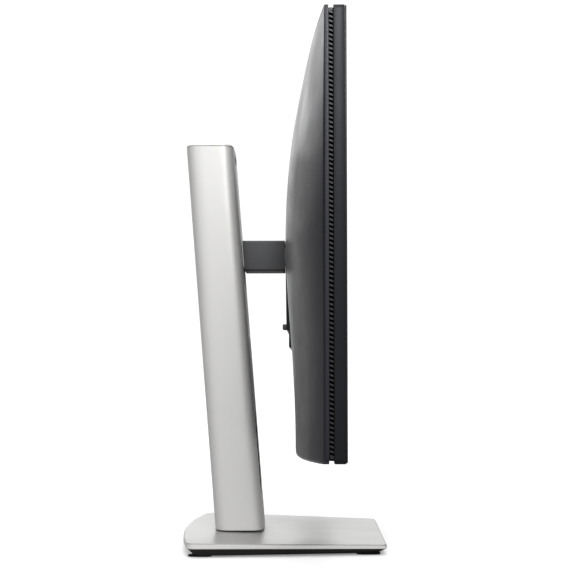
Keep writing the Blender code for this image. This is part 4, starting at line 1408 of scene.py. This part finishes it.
@dataclass
class SpringStrip:
    """The drawn-out stretch of the balance spring, built at one fixed length; the real strip shortens as the
    carriage rises.
    """

    column: Column
    rows: int = 60
    front: float = 0.0109
    back: float = 0.0115

    def build(self) -> None:
        """A thin leaning strip in steel, from the column's top down to the carriage's height, on no body."""
        low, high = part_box("spring_strip")
        heights = np.linspace(low.z, high.z, self.rows)[:, None]
        x = np.array([low.x, high.x, high.x, low.x])[None] + 0 * heights
        y = np.array([self.front, self.front, self.back, self.back])[None] + self.column.centre_y(heights)
        piece = closed_loft("balance_strip", np.stack([x, y, heights + 0 * x], axis=2))
        piece.data.materials.append(STEEL.build())
        start, end = [(0.0, float(self.column.centre_y(z)), z) for z in (high.z, low.z)]
        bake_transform(piece)
        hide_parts("spring_strip")
        LOG.info("%s: %d faces, from column to carriage", piece.name, len(piece.data.polygons))


# ---------------------------------------------------------------- what stays from the CAD frame


@dataclass(frozen=True)
class Hardware:
    """Finishes for the CAD nodes whose shape is already right."""

    looks: tuple[tuple[Finish, str], ...] = (
        (WEIGHT_PAINT, "base_weight"),
        (RUBBER, "foot_front_left foot_front_right foot_rear_left foot_rear_right"),
        (NYLON, "swivel_race glide_left glide_right spring_drum pivot_washer"),
        (STEEL, "swivel_spindle base_screw swivel_nut guide_channel spring_anchor spring_axle spring_coil"),
        (STEEL, "tilt_yoke tilt_shaft tilt_washers tilt_nut pivot_nut panel_tray board_tray mount_bracket"),
        (STEEL, "release_latch hdmi_port display_port usb_b_port usb_a_port_1 usb_a_port_2"),
        (DARK_STEEL, "mount_plate port_plate"),
        (CASTING, "column_foot lift_carriage arm_core"),
        (FRAME_PLASTIC, "power_inlet joystick_housing joystick_gimbal joystick_stem"),
        (FILM, "optical_films reflector_sheet led_bar"),
        (ACRYLIC, "light_guide"),
        (BOARD, "main_board power_board"),
    )

    def dress_all(self) -> None:
        """Put each finish on its nodes, and the panel's own finish on the screen."""
        for look, nodes in self.looks:
            for name in nodes.split():
                self._paint(name, look.build())
        self._paint("lcd_panel", ScreenFinish().build())

    @staticmethod
    def _paint(name: str, material: bpy.types.Material) -> None:
        """Assign a material to every slot of a CAD node's object.

        Args:
            name: the node's name.
            material: its material.
        """
        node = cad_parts[name]
        if not node.material_slots:
            node.data.materials.append(material)
        for place in node.material_slots:
            place.material = material
        LOG.info("%s keeps its CAD shape in %s", name, material.name)


# ---------------------------------------------------------------- studio


def aim(name: str, data: bpy.types.ID, place: Triple, way: Vector) -> Piece:
    """Stand a light or a camera at a place, looking along a way.

    Args:
        name: the object's name.
        data: the light or the camera.
        place: where it stands.
        way: where it looks.

    Returns:
        The linked object.
    """
    made = bpy.data.objects.new(name, data)
    bpy.context.scene.collection.objects.link(made)
    made.location = place
    made.rotation_euler = way.to_track_quat("-Z", "Y").to_euler()
    return made


@dataclass(frozen=True)
class Softbox:
    """A square area light that points at the object."""

    name: str
    place: Triple
    target: Triple
    size: float
    watts: float

    def build(self) -> None:
        """Add the light to the scene."""
        data = bpy.data.lights.new(self.name, "AREA")
        data.size = self.size
        data.energy = self.watts
        aim(self.name, data, self.place, Vector(self.target) - Vector(self.place))


@dataclass(frozen=True)
class Glow:
    """A soft bright patch of the surroundings, round one direction."""

    toward: Triple
    rim: float
    core: float
    strength: float

    def add(
        self, tree: Tree, looking: Socket, total: Socket
    ) -> Socket:
        """Add the patch's strength to the total so far.

        Args:
            tree: the world's node tree.
            looking: the output that holds the direction looked in.
            total: the strength so far.

        Returns:
            The output of the new total.
        """
        ways = {0: looking, 1: Vector(self.toward).normalized()}
        facing = add_node(tree, "VectorMath", ways, operation="DOT_PRODUCT").outputs["Value"]
        limits = {"From Min": self.rim, "From Max": self.core, "To Min": 0.0, "To Max": self.strength}
        patch = add_node(tree, "MapRange", {"Value": facing, **limits}, interpolation_type="SMOOTHSTEP")
        return add_node(tree, "Math", {0: patch.outputs["Result"], 1: total}, operation="ADD").outputs[0]


@dataclass
class Studio:
    """A white room: pale floor, soft patches of light all round, and the camera."""

    camera_place: Triple = (-1.2388, -0.0228, 0.1696)
    yaw: float = 0.01694
    pitch: float = 0.06919
    lens: float = 77.48
    floor_half: float = 12.0
    floor_glow: float = 0.25
    floor_tone: Pair = (0.90, 0.30)
    backdrop: float = 1.1
    ambient: float = 0.19
    glows: tuple[Glow, ...] = (
        Glow((0.87, 0.12, 0.48), 0.80, 0.98, 1.7),
        Glow((1.0, 0.05, 0.0), 0.85, 0.99, 0.22),
        Glow((-0.75, 0.0, 0.66), 0.30, 1.0, 1.20),
        Glow((0.0, 0.0, 1.0), 0.40, 1.0, 0.5),
    )
    lights: tuple[Softbox, ...] = (
        Softbox("overhead", (-0.60, 0.10, 1.15), (0.0, 0.02, 0.35), 0.6, 2.0),
        Softbox("side_fill", (-0.78, -0.13, 0.62), (0.0, 0.03, 0.25), 0.25, 1.9),
    )

    def build(self) -> None:
        """Build the room round the object."""
        self._camera()
        self._floor()
        self._surroundings()
        for light in self.lights:
            light.build()
        bpy.context.scene.view_settings.view_transform = "Standard"

    def _camera(self) -> None:
        """A level camera to the object's left, turned and raised a little."""
        data = bpy.data.cameras.new("camera")
        data.lens = self.lens
        data.sensor_width = 36.0
        level = math.cos(self.pitch)
        way = Vector((level * math.cos(self.yaw), level * math.sin(self.yaw), math.sin(self.pitch)))
        bpy.context.scene.camera = aim("camera", data, self.camera_place, way)

    @staticmethod
    def _seen_directly(tree: Tree, near: float, far: float | Socket) -> Socket:
        """One value where the view meets a surface directly, and another elsewhere.

        Args:
            tree: the node tree.
            near: the value where it is seen directly.
            far: the value elsewhere.

        Returns:
            The output of the value.
        """
        path = add_node(tree, "LightPath")
        sources = {"Factor": path.outputs["Is Camera Ray"], "A": far, "B": near}
        return add_node(tree, "Mix", sources).outputs["Result"]

    def _floor(self) -> None:
        """A wide pale floor, lifted to white where it is seen directly."""
        half = self.floor_half
        corners = np.array([(-half, -half, 0.0), (half, -half, 0.0), (half, half, 0.0), (-half, half, 0.0)])
        made = make_mesh("studio_floor", corners, [[0, 1, 2, 3]])
        look, tree, shader = new_material("studio_floor")
        feed(tree, shader, {
            "Roughness": 0.9,
            "Specular IOR Level": 0.1,
            "Emission Color": (1.0, 1.0, 1.0, 1.0),
            "Emission Strength": self._seen_directly(tree, self.floor_glow, 0.0),
            "Base Color": self._seen_directly(tree, *self.floor_tone),
        })
        made.data.materials.append(look)

    def _surroundings(self) -> None:
        """White where seen directly; for lighting, a dim room with bright patches."""
        world = bpy.data.worlds.new("white_room")
        bpy.context.scene.world = world
        world.use_nodes = True
        tree = world.node_tree
        looking = add_node(tree, "TexCoord").outputs["Generated"]
        dim = add_node(tree, "Value")
        dim.outputs[0].default_value = self.ambient
        total = dim.outputs[0]
        for glow in self.glows:
            total = glow.add(tree, looking, total)
        strength = self._seen_directly(tree, self.backdrop, total)
        feed(tree, tree.nodes["Background"], {"Color": (1.0, 1.0, 1.0, 1.0), "Strength": strength})


def main() -> None:
    """Build the studio and every sub-assembly, and dress what stays from the CAD frame."""
    logging.basicConfig(level=logging.INFO, format="%(name)s: %(message)s")
    Studio().build()
    Hardware().dress_all()
    cover = RearCover()
    cover.build()
    FrontHousing().build()
    Controls(cover).build()
    Sockets().build()
    column = Column()
    column.build()
    Arm(column).build()
    SpringStrip(column).build()
    Base().build()


if __name__ == "__main__":
    main()
